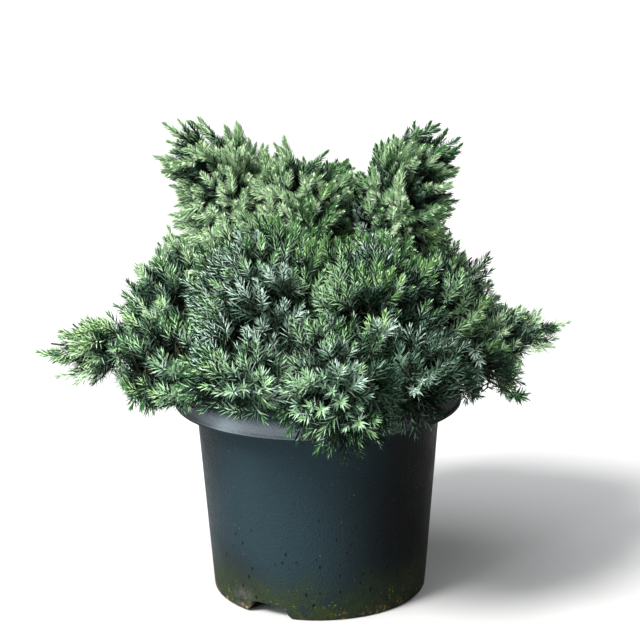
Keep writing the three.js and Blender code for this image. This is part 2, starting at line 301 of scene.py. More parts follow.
@dataclass
class Shading:
    """A material under construction: its wiring, its Principled BSDF and its object coordinates."""

    name: str
    roughness: float
    specular: float = 0.5
    material: Material = field(init=False)
    w: Wiring = field(init=False)
    surface: Node = field(init=False)
    place: Socket = field(init=False)

    def __post_init__(self) -> None:
        """Makes the bare material."""
        self.material = bpy.data.materials.new(self.name)
        self.material.use_nodes = True
        tree = self.material.node_tree
        self.w = Wiring(tree)
        self.surface = next(node for node in tree.nodes if node.type == "BSDF_PRINCIPLED")
        self.surface.inputs["Roughness"].default_value = self.roughness
        self.surface.inputs["Specular IOR Level"].default_value = self.specular
        self.place = self.w.add("ShaderNodeTexCoord").outputs["Object"]

    def effect(self, group: NodeTree, **sockets: float) -> Socket:
        """Places a shared effect with its own values.

        Args:
            group: The effect.
            sockets: Its inputs, by their names in small letters.

        Returns:
            Its output.
        """
        node = self.w.add("ShaderNodeGroup", node_tree=group)
        self.w.tree.links.new(self.place, node.inputs["Vector"])
        for name, value in sockets.items():
            node.inputs[name.capitalize()].default_value = value
        return node.outputs[0]

    def facing(self, axis: str) -> Socket:
        """How far the surface faces along an axis."""
        return self.w.part(self.w.add("ShaderNodeNewGeometry").outputs["Normal"], axis)

    def link(self, value: Socket, name: str) -> None:
        """Links a value to one of the surface's inputs."""
        self.w.tree.links.new(value, self.surface.inputs[name])

    def tint(self, colour: Colour, scale: float, low: float, high: float) -> None:
        """Gives the surface a plain colour with a faint mottle.

        Args:
            colour: The colour.
            scale: The mottle's scale.
            low: How dark it gets.
            high: How light it gets.
        """
        value = self.effect(EFFECTS.mottle, scale=scale, low=low, high=high)
        tinted = self.w.add("ShaderNodeVectorMath", {0: colour, "Scale": value}, operation="SCALE")
        self.link(tinted.outputs[0], "Base Color")

    def bump(self, height: Socket, distance: float) -> None:
        """Raises the surface by a height of up to a distance in metres."""
        node = self.w.add("ShaderNodeBump", {"Height": height, "Distance": distance, "Strength": 1.0})
        self.link(node.outputs[0], "Normal")


def rgba(colour: Colour) -> tuple[float, float, float, float]:
    """Adds full alpha to a colour."""
    return (*colour, 1.0)


# ---- Finishes ----


@dataclass(frozen=True)
class NeedleFinish:
    """One face of a needle in one tone: a plain colour with a faint mottle, under a thin wax."""

    name: str
    colour: Colour
    roughness: float
    specular: float

    def material(self) -> Material:
        """Builds the material.

        Returns:
            The material.
        """
        s = Shading(self.name, self.roughness, self.specular)
        s.tint(self.colour, 260.0, 0.86, 1.14)
        return s.material


class Tone(IntEnum):
    """The colours that needles are dealt, from painted shade (SHADE, DEEP) for the crown's inside and shaded
    parts to the new growth; PALE is painted light.
    """

    SHADE = 0
    DEEP = 1
    BLUE = 2
    GREEN = 3
    FRESH = 4
    NEW = 5
    PALE = 6
    DEAD = 7


@dataclass(frozen=True)
class ToneColours:
    """A tone's two faces: the upper one with its pale bloom, and the keel below."""

    upper: Colour
    keel: Colour


TONES: dict[Tone, ToneColours] = {
    # SHADE and DEEP are painted shade: dark copies of the needles for the crown's inside and its shaded
    # parts.
    Tone.SHADE: ToneColours((0.016, 0.038, 0.022), (0.002, 0.008, 0.004)),
    Tone.DEEP: ToneColours((0.110, 0.205, 0.135), (0.005, 0.019, 0.008)),
    Tone.BLUE: ToneColours((0.455, 0.605, 0.510), (0.016, 0.056, 0.028)),
    Tone.GREEN: ToneColours((0.320, 0.510, 0.290), (0.022, 0.074, 0.024)),
    Tone.FRESH: ToneColours((0.360, 0.575, 0.310), (0.042, 0.128, 0.040)),
    Tone.NEW: ToneColours((0.430, 0.630, 0.320), (0.085, 0.200, 0.058)),
    # PALE is painted light: a paler copy of the needles where the crown is to look lit.
    Tone.PALE: ToneColours((0.580, 0.740, 0.500), (0.200, 0.345, 0.170)),
    Tone.DEAD: ToneColours((0.220, 0.090, 0.030), (0.130, 0.055, 0.020)),
}


@dataclass(frozen=True)
class BarkFinish:
    """Thin, stringy, peeling bark."""

    name: str
    light: Colour
    dark: Colour
    flake_scale: float = 420.0

    def material(self) -> Material:
        """Builds the material.

        Returns:
            The material.
        """
        s = Shading(self.name, 0.85, specular=0.2)
        strings = s.effect(EFFECTS.grain, scale=self.flake_scale, stretch=0.25)
        fleck = s.effect(EFFECTS.mottle, scale=90.0, low=0.0, high=1.0)
        share = s.w.spread(s.w.plus(strings, s.w.times(fleck, 0.25)), 0.4, 0.8, 0.0, 1.0)
        s.link(s.w.mix(share, rgba(self.dark), rgba(self.light)), "Base Color")
        s.bump(strings, 0.0008)
        return s.material


@dataclass(frozen=True)
class CompostFinish:
    """Dark, damp, fibrous compost."""

    name: str = "damp_compost"
    dark: Colour = (0.012, 0.009, 0.007)
    light: Colour = (0.050, 0.034, 0.022)
    fibre: Colour = (0.13, 0.09, 0.05)

    def material(self) -> Material:
        """Builds the material.

        Returns:
            The material.
        """
        s = Shading(self.name, 0.9, specular=0.25)
        lumps = s.effect(EFFECTS.mottle, scale=500.0, low=0.0, high=1.0)
        fibres = s.effect(EFFECTS.specks, scale=700.0, size=0.5, share=0.15)
        base = s.w.mix(lumps, rgba(self.dark), rgba(self.light))
        s.link(s.w.mix(s.w.times(fibres, 0.6), base, rgba(self.fibre)), "Base Color")
        s.bump(lumps, 0.0012)
        return s.material


@dataclass(frozen=True)
class Spot:
    """A soft round patch on the pot.

    Args:
        middle: Its middle.
        radius: Where it has faded out.
        share: How much of its colour shows in its middle.
    """

    middle: Point
    radius: float
    share: float = 1.0


@dataclass(frozen=True)
class PlasticFinish:
    """Blow-moulded dark plastic with a fine grain, weathered: dust on the collar, algae and soil at the foot.
    Painted light lies on the front-left face, on the grain that faces left and, with the dust, on the collar;
    painted shade lies on the right side and at the collar's ends.

    A Fade has the heights between which a layer fades out, and how ragged its edge is.
    """

    name: str = "nursery_plastic"
    body: Colour = (0.0075, 0.0165, 0.0205)
    bloom: Colour = (0.0115, 0.0210, 0.0255)
    # Painted light: the lighter colour of the front-left face.
    painted_light: Colour = (0.0150, 0.0275, 0.0335)
    # Dark blotches, and the painted shade of the right side and of the collar's ends.
    soot_and_shade: Colour = (0.0030, 0.0029, 0.0027)
    grime: Colour = (0.0120, 0.0105, 0.0085)
    # Pale dust; on the collar's flare it is also a painted highlight.
    dust_and_highlight: Colour = (0.160, 0.184, 0.202)
    # Painted highlight on the grain of the side that faces left.
    lit_grit: Colour = (0.050, 0.053, 0.052)
    algae: Colour = (0.024, 0.033, 0.011)
    moss: Colour = (0.095, 0.120, 0.016)
    soil: Colour = (0.240, 0.120, 0.055)
    lime: Colour = (0.062, 0.058, 0.052)
    pit: Colour = (0.0020, 0.0028, 0.0030)
    roughness: float = 0.42
    # Painted light on the front-left face.
    painted_lit_face: Spot = Spot((-0.022, -0.100, 0.090), 0.115)
    # Painted shade on the right side.
    painted_shaded_side: Spot = Spot((0.105, -0.030, 0.085), 0.140, 0.95)
    grimy_foot: Spot = Spot((-0.074, -0.060, 0.018), 0.050, 0.40)
    # Painted shade at both ends of the collar.
    shaded_collar_ends: tuple[Spot, Spot] = (
        Spot((-0.105, -0.045, 0.172), 0.050, 0.60),
        Spot((0.105, -0.040, 0.172), 0.095, 0.93),
    )
    limy_notch: Spot = Spot((-0.060, -0.062, 0.006), 0.019)
    muddy_notch: Spot = Spot((-0.054, -0.066, 0.006), 0.016)
    film_fade: Fade = (0.006, 0.050, 0.040)
    moss_fade: Fade = (0.006, 0.034, 0.030)
    soil_fade: Fade = (0.002, 0.010, 0.008)
    pits_fade: Fade = (0.04, 0.11, 0.06)
    # Heights of the painted highlight on the left-facing grain.
    lit_grain_heights: Span = (0.00, 0.15)
    # Heights of the collar's dust and painted highlight.
    dust_and_highlight_heights: Span = (0.153, 0.156)

    def material(self) -> Material:
        """Builds the material, layer on layer.

        Returns:
            The material.
        """
        s = Shading(self.name, self.roughness, specular=0.03)
        w = s.w
        film = self._near_foot(s, self.film_fade, self._patches(s, 120.0, 0.2))
        pits = s.effect(EFFECTS.specks, scale=380.0, size=0.46, share=0.16, stretch=0.5)
        pits = self._near_foot(s, self.pits_fade, pits)
        motes = s.effect(EFFECTS.specks, scale=300.0, size=0.22, share=0.10)
        moss = s.effect(EFFECTS.specks, scale=440.0, size=0.5, share=0.22)
        layers = (
            (s.effect(EFFECTS.mottle, scale=14.0, low=0.0, high=1.0), self.bloom),
            (s.effect(EFFECTS.mottle, scale=9.0, low=-0.2, high=0.45), self.soot_and_shade),
            # Painted light on the front-left face.
            (self._spot(s, self.painted_lit_face), self.painted_light),
            # Painted shade on the right side.
            (self._spot(s, self.painted_shaded_side), self.soot_and_shade),
            (self._spot(s, self.grimy_foot), self.grime),
            # Painted highlight on the grain that faces left.
            (self._lit_grain(s), self.lit_grit),
            # Dust with a painted highlight on the collar.
            (self._settled_dust_and_highlight(s), self.dust_and_highlight),
            # Painted shade at the collar's ends.
            (w.math("MAXIMUM", *(self._spot(s, end) for end in self.shaded_collar_ends)), self.soot_and_shade),
            (film, self.algae),
            (self._near_foot(s, self.moss_fade, moss), self.moss),
            (w.times(self._spot(s, self.limy_notch), self._patches(s, 160.0, -0.2)), self.lime),
            (self._near_foot(s, self.soil_fade, self._clots(s)), self.soil),
            (w.times(motes, 0.45), self.dust_and_highlight),
            (w.times(pits, 0.7), self.pit),
        )
        colour = rgba(self.body)
        for mask, paint in layers:
            colour = w.mix(mask, colour, rgba(paint))
        s.link(colour, "Base Color")
        smear = s.effect(EFFECTS.mottle, scale=45.0, low=-0.05, high=0.07)
        s.link(w.plus(w.plus(self.roughness, smear), w.times(film, 0.25)), "Roughness")
        skin = s.effect(EFFECTS.grain, scale=620.0, stretch=1.0)
        s.bump(w.math("SUBTRACT", skin, w.times(pits, 1.5)), 0.0010)
        return s.material

    def _lit_grain(self, s: Shading) -> Socket:
        """Painted highlight on the grain: on the side that faces left, and more so higher up.

        Args:
            s: The material's shading.

        Returns:
            The mask.
        """
        rough = s.w.spread(s.effect(EFFECTS.grain, scale=560.0, stretch=1.0), 0.50, 0.66, 0.0, 0.9)
        leftward = s.w.spread(s.facing("X"), -0.99, -0.70, 1.0, 0.0, smooth=True)
        return s.w.times(rough, s.w.times(leftward, self._high(s, self.lit_grain_heights)))

    def _settled_dust_and_highlight(self, s: Shading) -> Socket:
        """Where dust settles and a painted highlight lies: on what faces a little upwards, high on the pot.
        """
        upward = s.w.spread(s.facing("Z"), 0.06, 0.30, 0.0, 0.95)
        return s.w.times(upward, self._high(s, self.dust_and_highlight_heights))

    def _clots(self, s: Shading) -> Socket:
        """Where soil sticks: in ragged patches, and all over the edge of the notch.

        Args:
            s: The material's shading.

        Returns:
            The mask.
        """
        crumbs = s.effect(EFFECTS.specks, scale=300.0, size=0.80, share=0.70)
        patches = self._patches(s, 55.0, -0.35)
        return s.w.times(crumbs, s.w.math("MAXIMUM", patches, self._spot(s, self.muddy_notch)))

    @staticmethod
    def _high(s: Shading, heights: Span) -> Socket:
        """A mask that rises from 0 to 1 between two heights."""
        return s.effect(EFFECTS.band, **{"from": heights[0], "to": heights[1], "wobble": 0.0})

    @staticmethod
    def _spot(s: Shading, spot: Spot) -> Socket:
        """A soft round mask about a point.

        Args:
            s: The material's shading.
            spot: The patch.

        Returns:
            The mask.
        """
        away = s.w.add("ShaderNodeVectorMath", {0: s.place, 1: spot.middle}, operation="DISTANCE")
        mask = s.w.spread(away.outputs["Value"], 0.3 * spot.radius, spot.radius, 1.0, 0.0, smooth=True)
        return s.w.times(mask, spot.share)

    @staticmethod
    def _patches(s: Shading, scale: float, low: float) -> Socket:
        """A ragged mask that comes and goes over the surface, clear where it falls below nothing."""
        return s.w.math("MAXIMUM", s.effect(EFFECTS.mottle, scale=scale, low=low, high=1.0), 0.0)

    @staticmethod
    def _near_foot(s: Shading, fade: Fade, mask: Socket) -> Socket:
        """Fades a mask out between two heights above the ground."""
        gone = s.effect(EFFECTS.band, **dict(zip(("from", "to", "wobble"), fade)))
        return s.w.times(mask, s.w.math("SUBTRACT", 1.0, gone))


@dataclass(frozen=True)
class FloorFinish:
    """The pale studio floor."""

    name: str = "studio_floor"
    colour: Colour = (0.55, 0.55, 0.55)

    def material(self) -> Material:
        """Builds the material.

        Returns:
            The material.
        """
        s = Shading(self.name, 0.8, specular=0.1)
        s.tint(self.colour, 6.0, 0.995, 1.005)
        return s.material


class Palette:
    """Every material, built once."""

    def __init__(self) -> None:
        """Builds the materials."""
        self.pot = PlasticFinish().material()
        self.compost = CompostFinish().material()
        self.bark = BarkFinish("bark", (0.160, 0.085, 0.045), (0.045, 0.026, 0.016)).material()
        self.twig = BarkFinish("young_twig", (0.024, 0.028, 0.013), (0.008, 0.010, 0.005), 800.0).material()
        self.floor = FloorFinish().material()
        self.needles: list[Material] = []
        for tone in Tone:
            faces = (("upper", TONES[tone].upper, 0.35), ("keel", TONES[tone].keel, 0.10))
            for face, colour, specular in faces:
                finish = NeedleFinish(f"needle_{tone.name.lower()}_{face}", colour, 0.45, specular)
                self.needles.append(finish.material())


# ---- Meshes ----


def new_object(name: str, data: ID) -> Object:
    """Puts an object in the scene, at the origin.

    Args:
        name: Its name.
        data: Its mesh, or the light or camera that it is.

    Returns:
        The object.
    """
    piece = bpy.data.objects.new(name, data)
    bpy.context.scene.collection.objects.link(piece)
    return piece


def facing_out(name: str, mesh: Mesh) -> Object:
    """Turns a closed mesh's faces outwards and puts it in the scene.

    Args:
        name: The object's name.
        mesh: The mesh.

    Returns:
        The object.
    """
    builder = bmesh.new()
    builder.from_mesh(mesh)
    bmesh.ops.recalc_face_normals(builder, faces=builder.faces)
    builder.to_mesh(mesh)
    builder.free()
    return new_object(name, mesh)


def mesh_from(name: str, points: Array, edges: Any = (), faces: Any = ()) -> Mesh:
    """Makes a mesh from points in millimetres.

    Args:
        name: Its name.
        points: The points, a row each.
        edges: Pairs of point numbers.
        faces: Rings of point numbers.

    Returns:
        The mesh, in metres.
    """
    mesh = bpy.data.meshes.new(name)
    mesh.from_pydata((np.asarray(points) * MM).tolist(), [tuple(e) for e in edges], [tuple(f) for f in faces])
    mesh.update()
    return mesh


def tube_faces(spans: int, sides: int, capped: bool = False) -> list[tuple[int, ...]]:
    """Joins rings of points, one after the other, into a tube.

    Args:
        spans: How many bands of faces there are from the first ring to the last.
        sides: How many points a ring has.
        capped: Whether its ends are closed.

    Returns:
        The faces.
    """
    faces = []
    last = spans * sides
    for first in range(0, last, sides):
        for side in range(sides):
            a, b = first + side, first + (side + 1) % sides
            faces.append((a, b, b + sides, a + sides))
    if capped:
        faces += [tuple(range(sides))[::-1], tuple(range(last, last + sides))]
    return faces


# What lines and needles carry only while a tree runs.
SPENT_VALUES = (
    "along", "close", "gap", "open", "girth", "tone", "tip_tone", "tip_from", "needle", "radius",
    "shade", "keel_side",
)


def grown(seed: Object, tree: NodeTree, values: dict[str, Any], name: str) -> Object:
    """Runs a Geometry Nodes tree on an object and keeps the result as a plain mesh.

    Args:
        seed: The object that the tree starts from. It is removed.
        tree: The tree.
        values: The tree's inputs by name.
        name: The name of the new piece.

    Returns:
        The new piece, without modifiers.
    """
    modifier = seed.modifiers.new("grow", "NODES")
    modifier.node_group = tree
    for item in tree.interface.items_tree:
        if item.item_type == "SOCKET" and item.in_out == "INPUT" and item.name in values:
            modifier[item.identifier] = values[item.name]
    depsgraph = bpy.context.evaluated_depsgraph_get()
    mesh = bpy.data.meshes.new_from_object(
        seed.evaluated_get(depsgraph), preserve_all_data_layers=True, depsgraph=depsgraph
    )
    seed.modifiers.remove(modifier)
    bpy.data.objects.remove(seed)
    mesh.name = name
    for spent in SPENT_VALUES:
        if spent in mesh.attributes:
            mesh.attributes.remove(mesh.attributes[spent])
    return new_object(name, mesh)


def settle(piece: Object, slot: Slot, nodes: Sequence[str] = ()) -> Object:
    """Hands a finished piece to the frame: it rides on the plant's one body and stands for the nodes.

    Args:
        piece: The piece.
        slot: Its material slot.
        nodes: The nodes that it stands for.

    Returns:
        The same piece.
    """
    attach(piece, BODY)
    if nodes:
        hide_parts(*nodes)
    log.info("%s: %d faces, slot %s", piece.name, len(piece.data.polygons), slot.value)
    return piece


@dataclass
class Lines:
    """Polylines in millimetres, with values at each point, that a node tree grows into needles or limbs."""

    points: list[Array] = field(default_factory=list)
    values: dict[str, list[Array]] = field(default_factory=dict)

    def add(self, points: Array, **values: Any) -> None:
        """Adds one polyline. Each value is one number or one for each point.

        Args:
            points: Its points.
            values: Its values.
        """
        self.points.append(points)
        for name, value in values.items():
            spread = np.broadcast_to(np.asarray(value, dtype=float), (len(points),))
            self.values.setdefault(name, []).append(spread)

    def seed(self, name: str) -> Object:
        """Makes the object of bare edges that a tree starts from.

        Args:
            name: The object's name.

        Returns:
            The object, in metres.
        """
        edges, start = [], 0
        for points in self.points:
            edges += [(start + i, start + i + 1) for i in range(len(points) - 1)]
            start += len(points)
        mesh = mesh_from(name, np.concatenate(self.points), edges)
        for key, values in self.values.items():
            attribute = mesh.attributes.new(key, "FLOAT", "POINT")
            attribute.data.foreach_set("value", np.concatenate(values).astype(np.float32))
        return new_object(name, mesh)


# ---- Trees that grow along lines ----

GEOMETRY_PORT = Port("Geometry", "NodeSocketGeometry")


def named(w: Wiring, name: str, kind: str = "FLOAT") -> Socket:
    """Reads a value that the lines carry at each point."""
    return w.out("GeometryNodeInputNamedAttribute", {"Name": name}, data_type=kind)


def chance(w: Wiring, low: float, high: float, seed: Socket, offset: int) -> Socket:
    """A random number for each element, from its own stream of the tree's seed."""
    own_seed = w.plus(seed, offset)
    return w.add("FunctionNodeRandomValue", {2: low, 3: high, "Seed": own_seed}, data_type="FLOAT").outputs[1]


@dataclass
class NeedleTree:
    """Grows whorls of needles along lines, closing towards the end of each shoot.

    Each point of the lines carries along (0 to 1), close (how far the needles there have closed, 0 to 1), gap
    (to the next whorl, in metres), open (the lean of fully open needles, in radians), girth and needle (their
    width and length, in metres), tone, tip_tone and tip_from (the tone of the shoot's lower part, that of its
    end, and where along it the end starts).

    Args:
        materials: The needles' materials: for each tone, that of its upper face and that of its keel.
        whorl: How many needles a whorl has.
        depth: A needle's depth, as a share of its width.
        widest: Where along a needle it is widest.
        twist: How far a needle strays round the shoot, in radians.
        closed_length: The length of a needle at the shoot's end, as a share of the others'.
        lengths: The least and the greatest length, as shares of the needle value.
        girths: The least and the greatest width, as shares of the girth value.
        ragged: How far along the shoot the start of its fresh end strays, from 0 to 1.
    """

    materials: Sequence[Material]
    whorl: int = 3
    depth: float = 0.26
    widest: float = 0.40
    twist: float = 0.45
    closed_length: float = 0.62
    lengths: Span = (0.88, 1.10)
    girths: Span = (0.85, 1.15)
    ragged: float = 0.15

    def needle(self) -> Object:
        """Makes one needle, a unit long and wide, up Z, with a flat face towards +Y and a keel.

        Returns:
            The needle.
        """
        deep = self.depth
        points = [(0, -deep, 0), (0.5, 0, self.widest), (-0.5, 0, self.widest), (0, -deep * 0.4, 1)]
        mesh = bpy.data.meshes.new("needle")
        mesh.from_pydata(points, [], [(0, 1, 2), (3, 2, 1), (0, 3, 1), (0, 2, 3)])
        side = mesh.attributes.new("keel_side", "INT", "FACE")
        side.data.foreach_set("value", [0, 0, 1, 1])
        return facing_out("needle", mesh)

    def tree(self) -> NodeTree:
        """Builds the tree, with the inputs Needle, Closed Angle, Closing, Stray and Seed.

        Returns:
            The tree.
        """
        ports = [
            GEOMETRY_PORT,
            Port("Needle", "NodeSocketObject"),
            Port("Closed Angle", value=0.26),
            Port("Closing", value=1.3),
            Port("Stray", value=0.06),
            Port("Seed", "NodeSocketInt", 0),
        ]
        w, source, sink = new_tree("needle whorls", "GeometryNodeTree", ports, [GEOMETRY_PORT])
        inputs = source.outputs
        curve = w.out("GeometryNodeMeshToCurve", {0: inputs["Geometry"]})
        spots = w.add("GeometryNodeCurveToPoints", {"Curve": curve, "Length": named(w, "gap")}, mode="LENGTH")
        doubled = {"Geometry": spots.outputs["Points"], "Amount": self.whorl}
        copies = w.add("GeometryNodeDuplicateElements", doubled, domain="POINT").outputs["Geometry"]
        tone = {"Geometry": copies, "Name": "shade", "Value": self._tone(w, inputs["Seed"])}
        marked = w.out("GeometryNodeStoreNamedAttribute", tone, data_type="FLOAT", domain="POINT")
        placing = {
            "Points": marked,
            "Instance": w.add("GeometryNodeObjectInfo", {"Object": inputs["Needle"]}).outputs["Geometry"],
            "Rotation": self._rotation(w, inputs, spots.outputs["Rotation"]),
            "Scale": self._scale(w, inputs["Seed"]),
        }
        placed = w.out("GeometryNodeInstanceOnPoints", placing)
        made = w.out("GeometryNodeRealizeInstances", {0: placed})
        w.tree.links.new(self._dressed(w, made), sink.inputs[0])
        return w.tree

    def _rotation(self, w: Wiring, inputs: Any, shoot: Socket) -> Socket:
        """Turns each needle round its shoot, whorl against whorl, and leans it out.

        Args:
            w: The tree's wiring.
            inputs: Its inputs.
            shoot: The way the shoot runs.

        Returns:
            The needles' rotation.
        """
        index = w.out("GeometryNodeInputIndex")
        whorl_number = w.math("FLOOR", w.math("DIVIDE", index, float(self.whorl)))
        third = 2 * math.pi / self.whorl
        turn = w.plus(w.times(index, third), w.times(whorl_number, third / 2))
        turn = w.plus(turn, chance(w, -self.twist, self.twist, inputs["Seed"], 1))
        closing = w.math("POWER", named(w, "close"), inputs["Closing"])
        lean = w.spread(closing, 0.0, 1.0, named(w, "open"), inputs["Closed Angle"])
        lean = w.plus(lean, w.times(chance(w, -1.0, 1.0, inputs["Seed"], 2), inputs["Stray"]))
        rotation = shoot
        for axis, angle in (((0, 0, 1), turn), ((1, 0, 0), lean)):
            about = w.out("FunctionNodeAxisAngleToRotation", {"Axis": axis, "Angle": angle})
            both = {0: rotation, 1: about}
            rotation = w.out("FunctionNodeRotateRotation", both, rotation_space="LOCAL")
        return rotation

    def _scale(self, w: Wiring, seed: Socket) -> Socket:
        """Sizes each needle, shorter as it closes.

        Args:
            w: The tree's wiring.
            seed: Its seed.

        Returns:
            The needles' scale.
        """
        shrink = w.spread(named(w, "close"), 0.0, 1.0, 1.0, self.closed_length)
        length = w.times(w.times(named(w, "needle"), shrink), chance(w, *self.lengths, seed, 3))
        girth = w.times(named(w, "girth"), chance(w, *self.girths, seed, 5))
        return w.out("ShaderNodeCombineXYZ", {0: girth, 1: girth, 2: length})

    def _tone(self, w: Wiring, seed: Socket) -> Socket:
        """Gives each needle the tone of its part of the shoot.

        Args:
            w: The tree's wiring.
            seed: Its seed.

        Returns:
            The needles' tone.
        """
        place = w.plus(named(w, "along"), chance(w, -self.ragged, self.ragged, seed, 4))
        newer = w.math("GREATER_THAN", place, named(w, "tip_from"))
        gap = w.math("SUBTRACT", named(w, "tip_tone"), named(w, "tone"))
        return w.math("ROUND", w.plus(named(w, "tone"), w.times(newer, gap)))

    def _dressed(self, w: Wiring, made: Socket) -> Socket:
        """Gives each needle's faces the materials of its tone.

        Args:
            w: The tree's wiring.
            made: The bare needles.

        Returns:
            The dressed needles.
        """
        number = w.plus(w.times(named(w, "shade"), 2.0), named(w, "keel_side", "INT"))
        for i, material in enumerate(self.materials):
            values = {0: number, 1: float(i), "Epsilon": 0.3}
            chosen = w.out("FunctionNodeCompare", values, data_type="FLOAT", operation="EQUAL")
            dress = {"Geometry": made, "Selection": chosen, "Material": material}
            made = w.out("GeometryNodeSetMaterial", dress)
        return made


def limb_tree(name: str, material: Material) -> NodeTree:
    """Builds the tree that gives lines a round, closed, slightly knobbly skin.

    Each point of the lines carries radius, in metres.

    Args:
        name: The tree's name.
        material: What the limbs are made of.

    Returns:
        The tree, with the inputs Sides, Spacing, Relief and Relief Scale.
    """
    ports = [
        GEOMETRY_PORT,
        Port("Sides", "NodeSocketInt", 6),
        Port("Spacing", value=0.003),
        Port("Relief", value=0.0),
        Port("Relief Scale", value=300.0),
    ]
    w, source, sink = new_tree(name, "GeometryNodeTree", ports, [GEOMETRY_PORT])
    inputs = source.outputs
    curve = w.out("GeometryNodeMeshToCurve", {0: inputs["Geometry"]})
    evenly = {"Curve": curve, "Length": inputs["Spacing"]}
    even = w.out("GeometryNodeResampleCurve", evenly, mode="LENGTH")
    round_profile = {"Resolution": inputs["Sides"], "Radius": 1.0}
    ring = w.out("GeometryNodeCurvePrimitiveCircle", round_profile)
    covering = {"Curve": even, "Profile Curve": ring, "Scale": named(w, "radius"), "Fill Caps": True}
    skin = w.out("GeometryNodeCurveToMesh", covering)
    place = w.out("GeometryNodeInputPosition")
    bark = w.add("ShaderNodeTexNoise", {"Vector": place, "Scale": inputs["Relief Scale"], "Detail": 2.0})
    push = w.times(w.math("SUBTRACT", bark.outputs[0], 0.5), inputs["Relief"])
    normal = w.out("GeometryNodeInputNormal")
    offset = w.out("ShaderNodeVectorMath", {0: normal, "Scale": push}, operation="SCALE")
    moved = w.out("GeometryNodeSetPosition", {"Geometry": skin, "Offset": offset})
    made = w.out("GeometryNodeRealizeInstances", {0: moved})
    dressed = w.out("GeometryNodeSetMaterial", {"Geometry": made, "Material": material})
    w.tree.links.new(dressed, sink.inputs[0])
    return w.tree


# ---- The rule that places the foliage, in millimetres ----

DRAW_FACTOR, DRAW_MODULUS = 48271, 2**31 - 1


def unit(vectors: Array) -> Array:
    """Scales vectors to length 1."""
    return vectors / np.maximum(np.linalg.norm(vectors, axis=-1, keepdims=True), 1e-9)


def ramp(value: float, places: Sequence[float], results: Sequence[float] = (0.0, 1.0)) -> float:
    """Reads a line of straight stretches at a value."""
    return float(np.interp(value, places, results))


def bezier(points: Sequence[Array], shares: Array) -> Array:
    """Points on the curve of any degree that has these control points.

    Args:
        points: The control points.
        shares: Where on the curve, from 0 to 1.

    Returns:
        A point for each share.
    """
    level = [np.broadcast_to(p, (len(shares), 3)) for p in points]
    t = shares[:, None]
    while len(level) > 1:
        level = [a * (1 - t) + b * t for a, b in zip(level, level[1:])]
    return level[0]


def seeded_draws(seed: int) -> Iterator[float]:
    """Draws numbers from 0 to 1 that depend only on the seed.

    Args:
        seed: The seed.

    Returns:
        The numbers, without end.
    """
    while True:
        seed = (seed * DRAW_FACTOR) % DRAW_MODULUS
        yield seed / DRAW_MODULUS


@dataclass(frozen=True)
class PotShape:
    """The pot's sizes."""

    height: float = 187
    foot_radius: float = 86.5
    shoulder_radius: float = 98
    shoulder_height: float = 155.5
    collar_radius: float = 115
    collar_edge: float = 4
    mouth_radius: float = 110.5
    wall: float = 2
    floor_rise: float = 11
    floor_thickness: float = 2.2
    foot_ring: float = 6
    pad_radius: float = 20

    def radius(self, z: Array) -> Array:
        """The outer wall's radius at a height.

        Args:
            z: The heights.

        Returns:
            The radii.
        """
        body = self.foot_radius + (self.shoulder_radius - self.foot_radius) * z / self.shoulder_height
        share = (z - self.shoulder_height) / (self.height - self.shoulder_height)
        collar = self.collar_radius + (self.mouth_radius - self.collar_radius) * share
        return np.where(z < self.shoulder_height, body, collar)

    def clear(self, points: Array, gap: float) -> Array:
        """Whether points keep a gap from the pot and all it holds."""
        inside = np.hypot(points[:, 0], points[:, 1]) < self.radius(np.maximum(points[:, 2], 0)) + gap
        return ~(inside & (points[:, 2] < self.height + gap))


POT = PotShape()
CROWN_CENTRE = np.array([0.0, 8.0, 225.0])
HEART_CENTRE, HEART_RADIUS = np.array([0.0, 8.0, 200.0]), 36.0
TRUNK_FOOT, TRUNK_FORK = np.array([5.0, 5.0, 170.3]), np.array([0.0, 9.0, 216.0])
MASS_GAP, TAIL = 1.2, 0.8


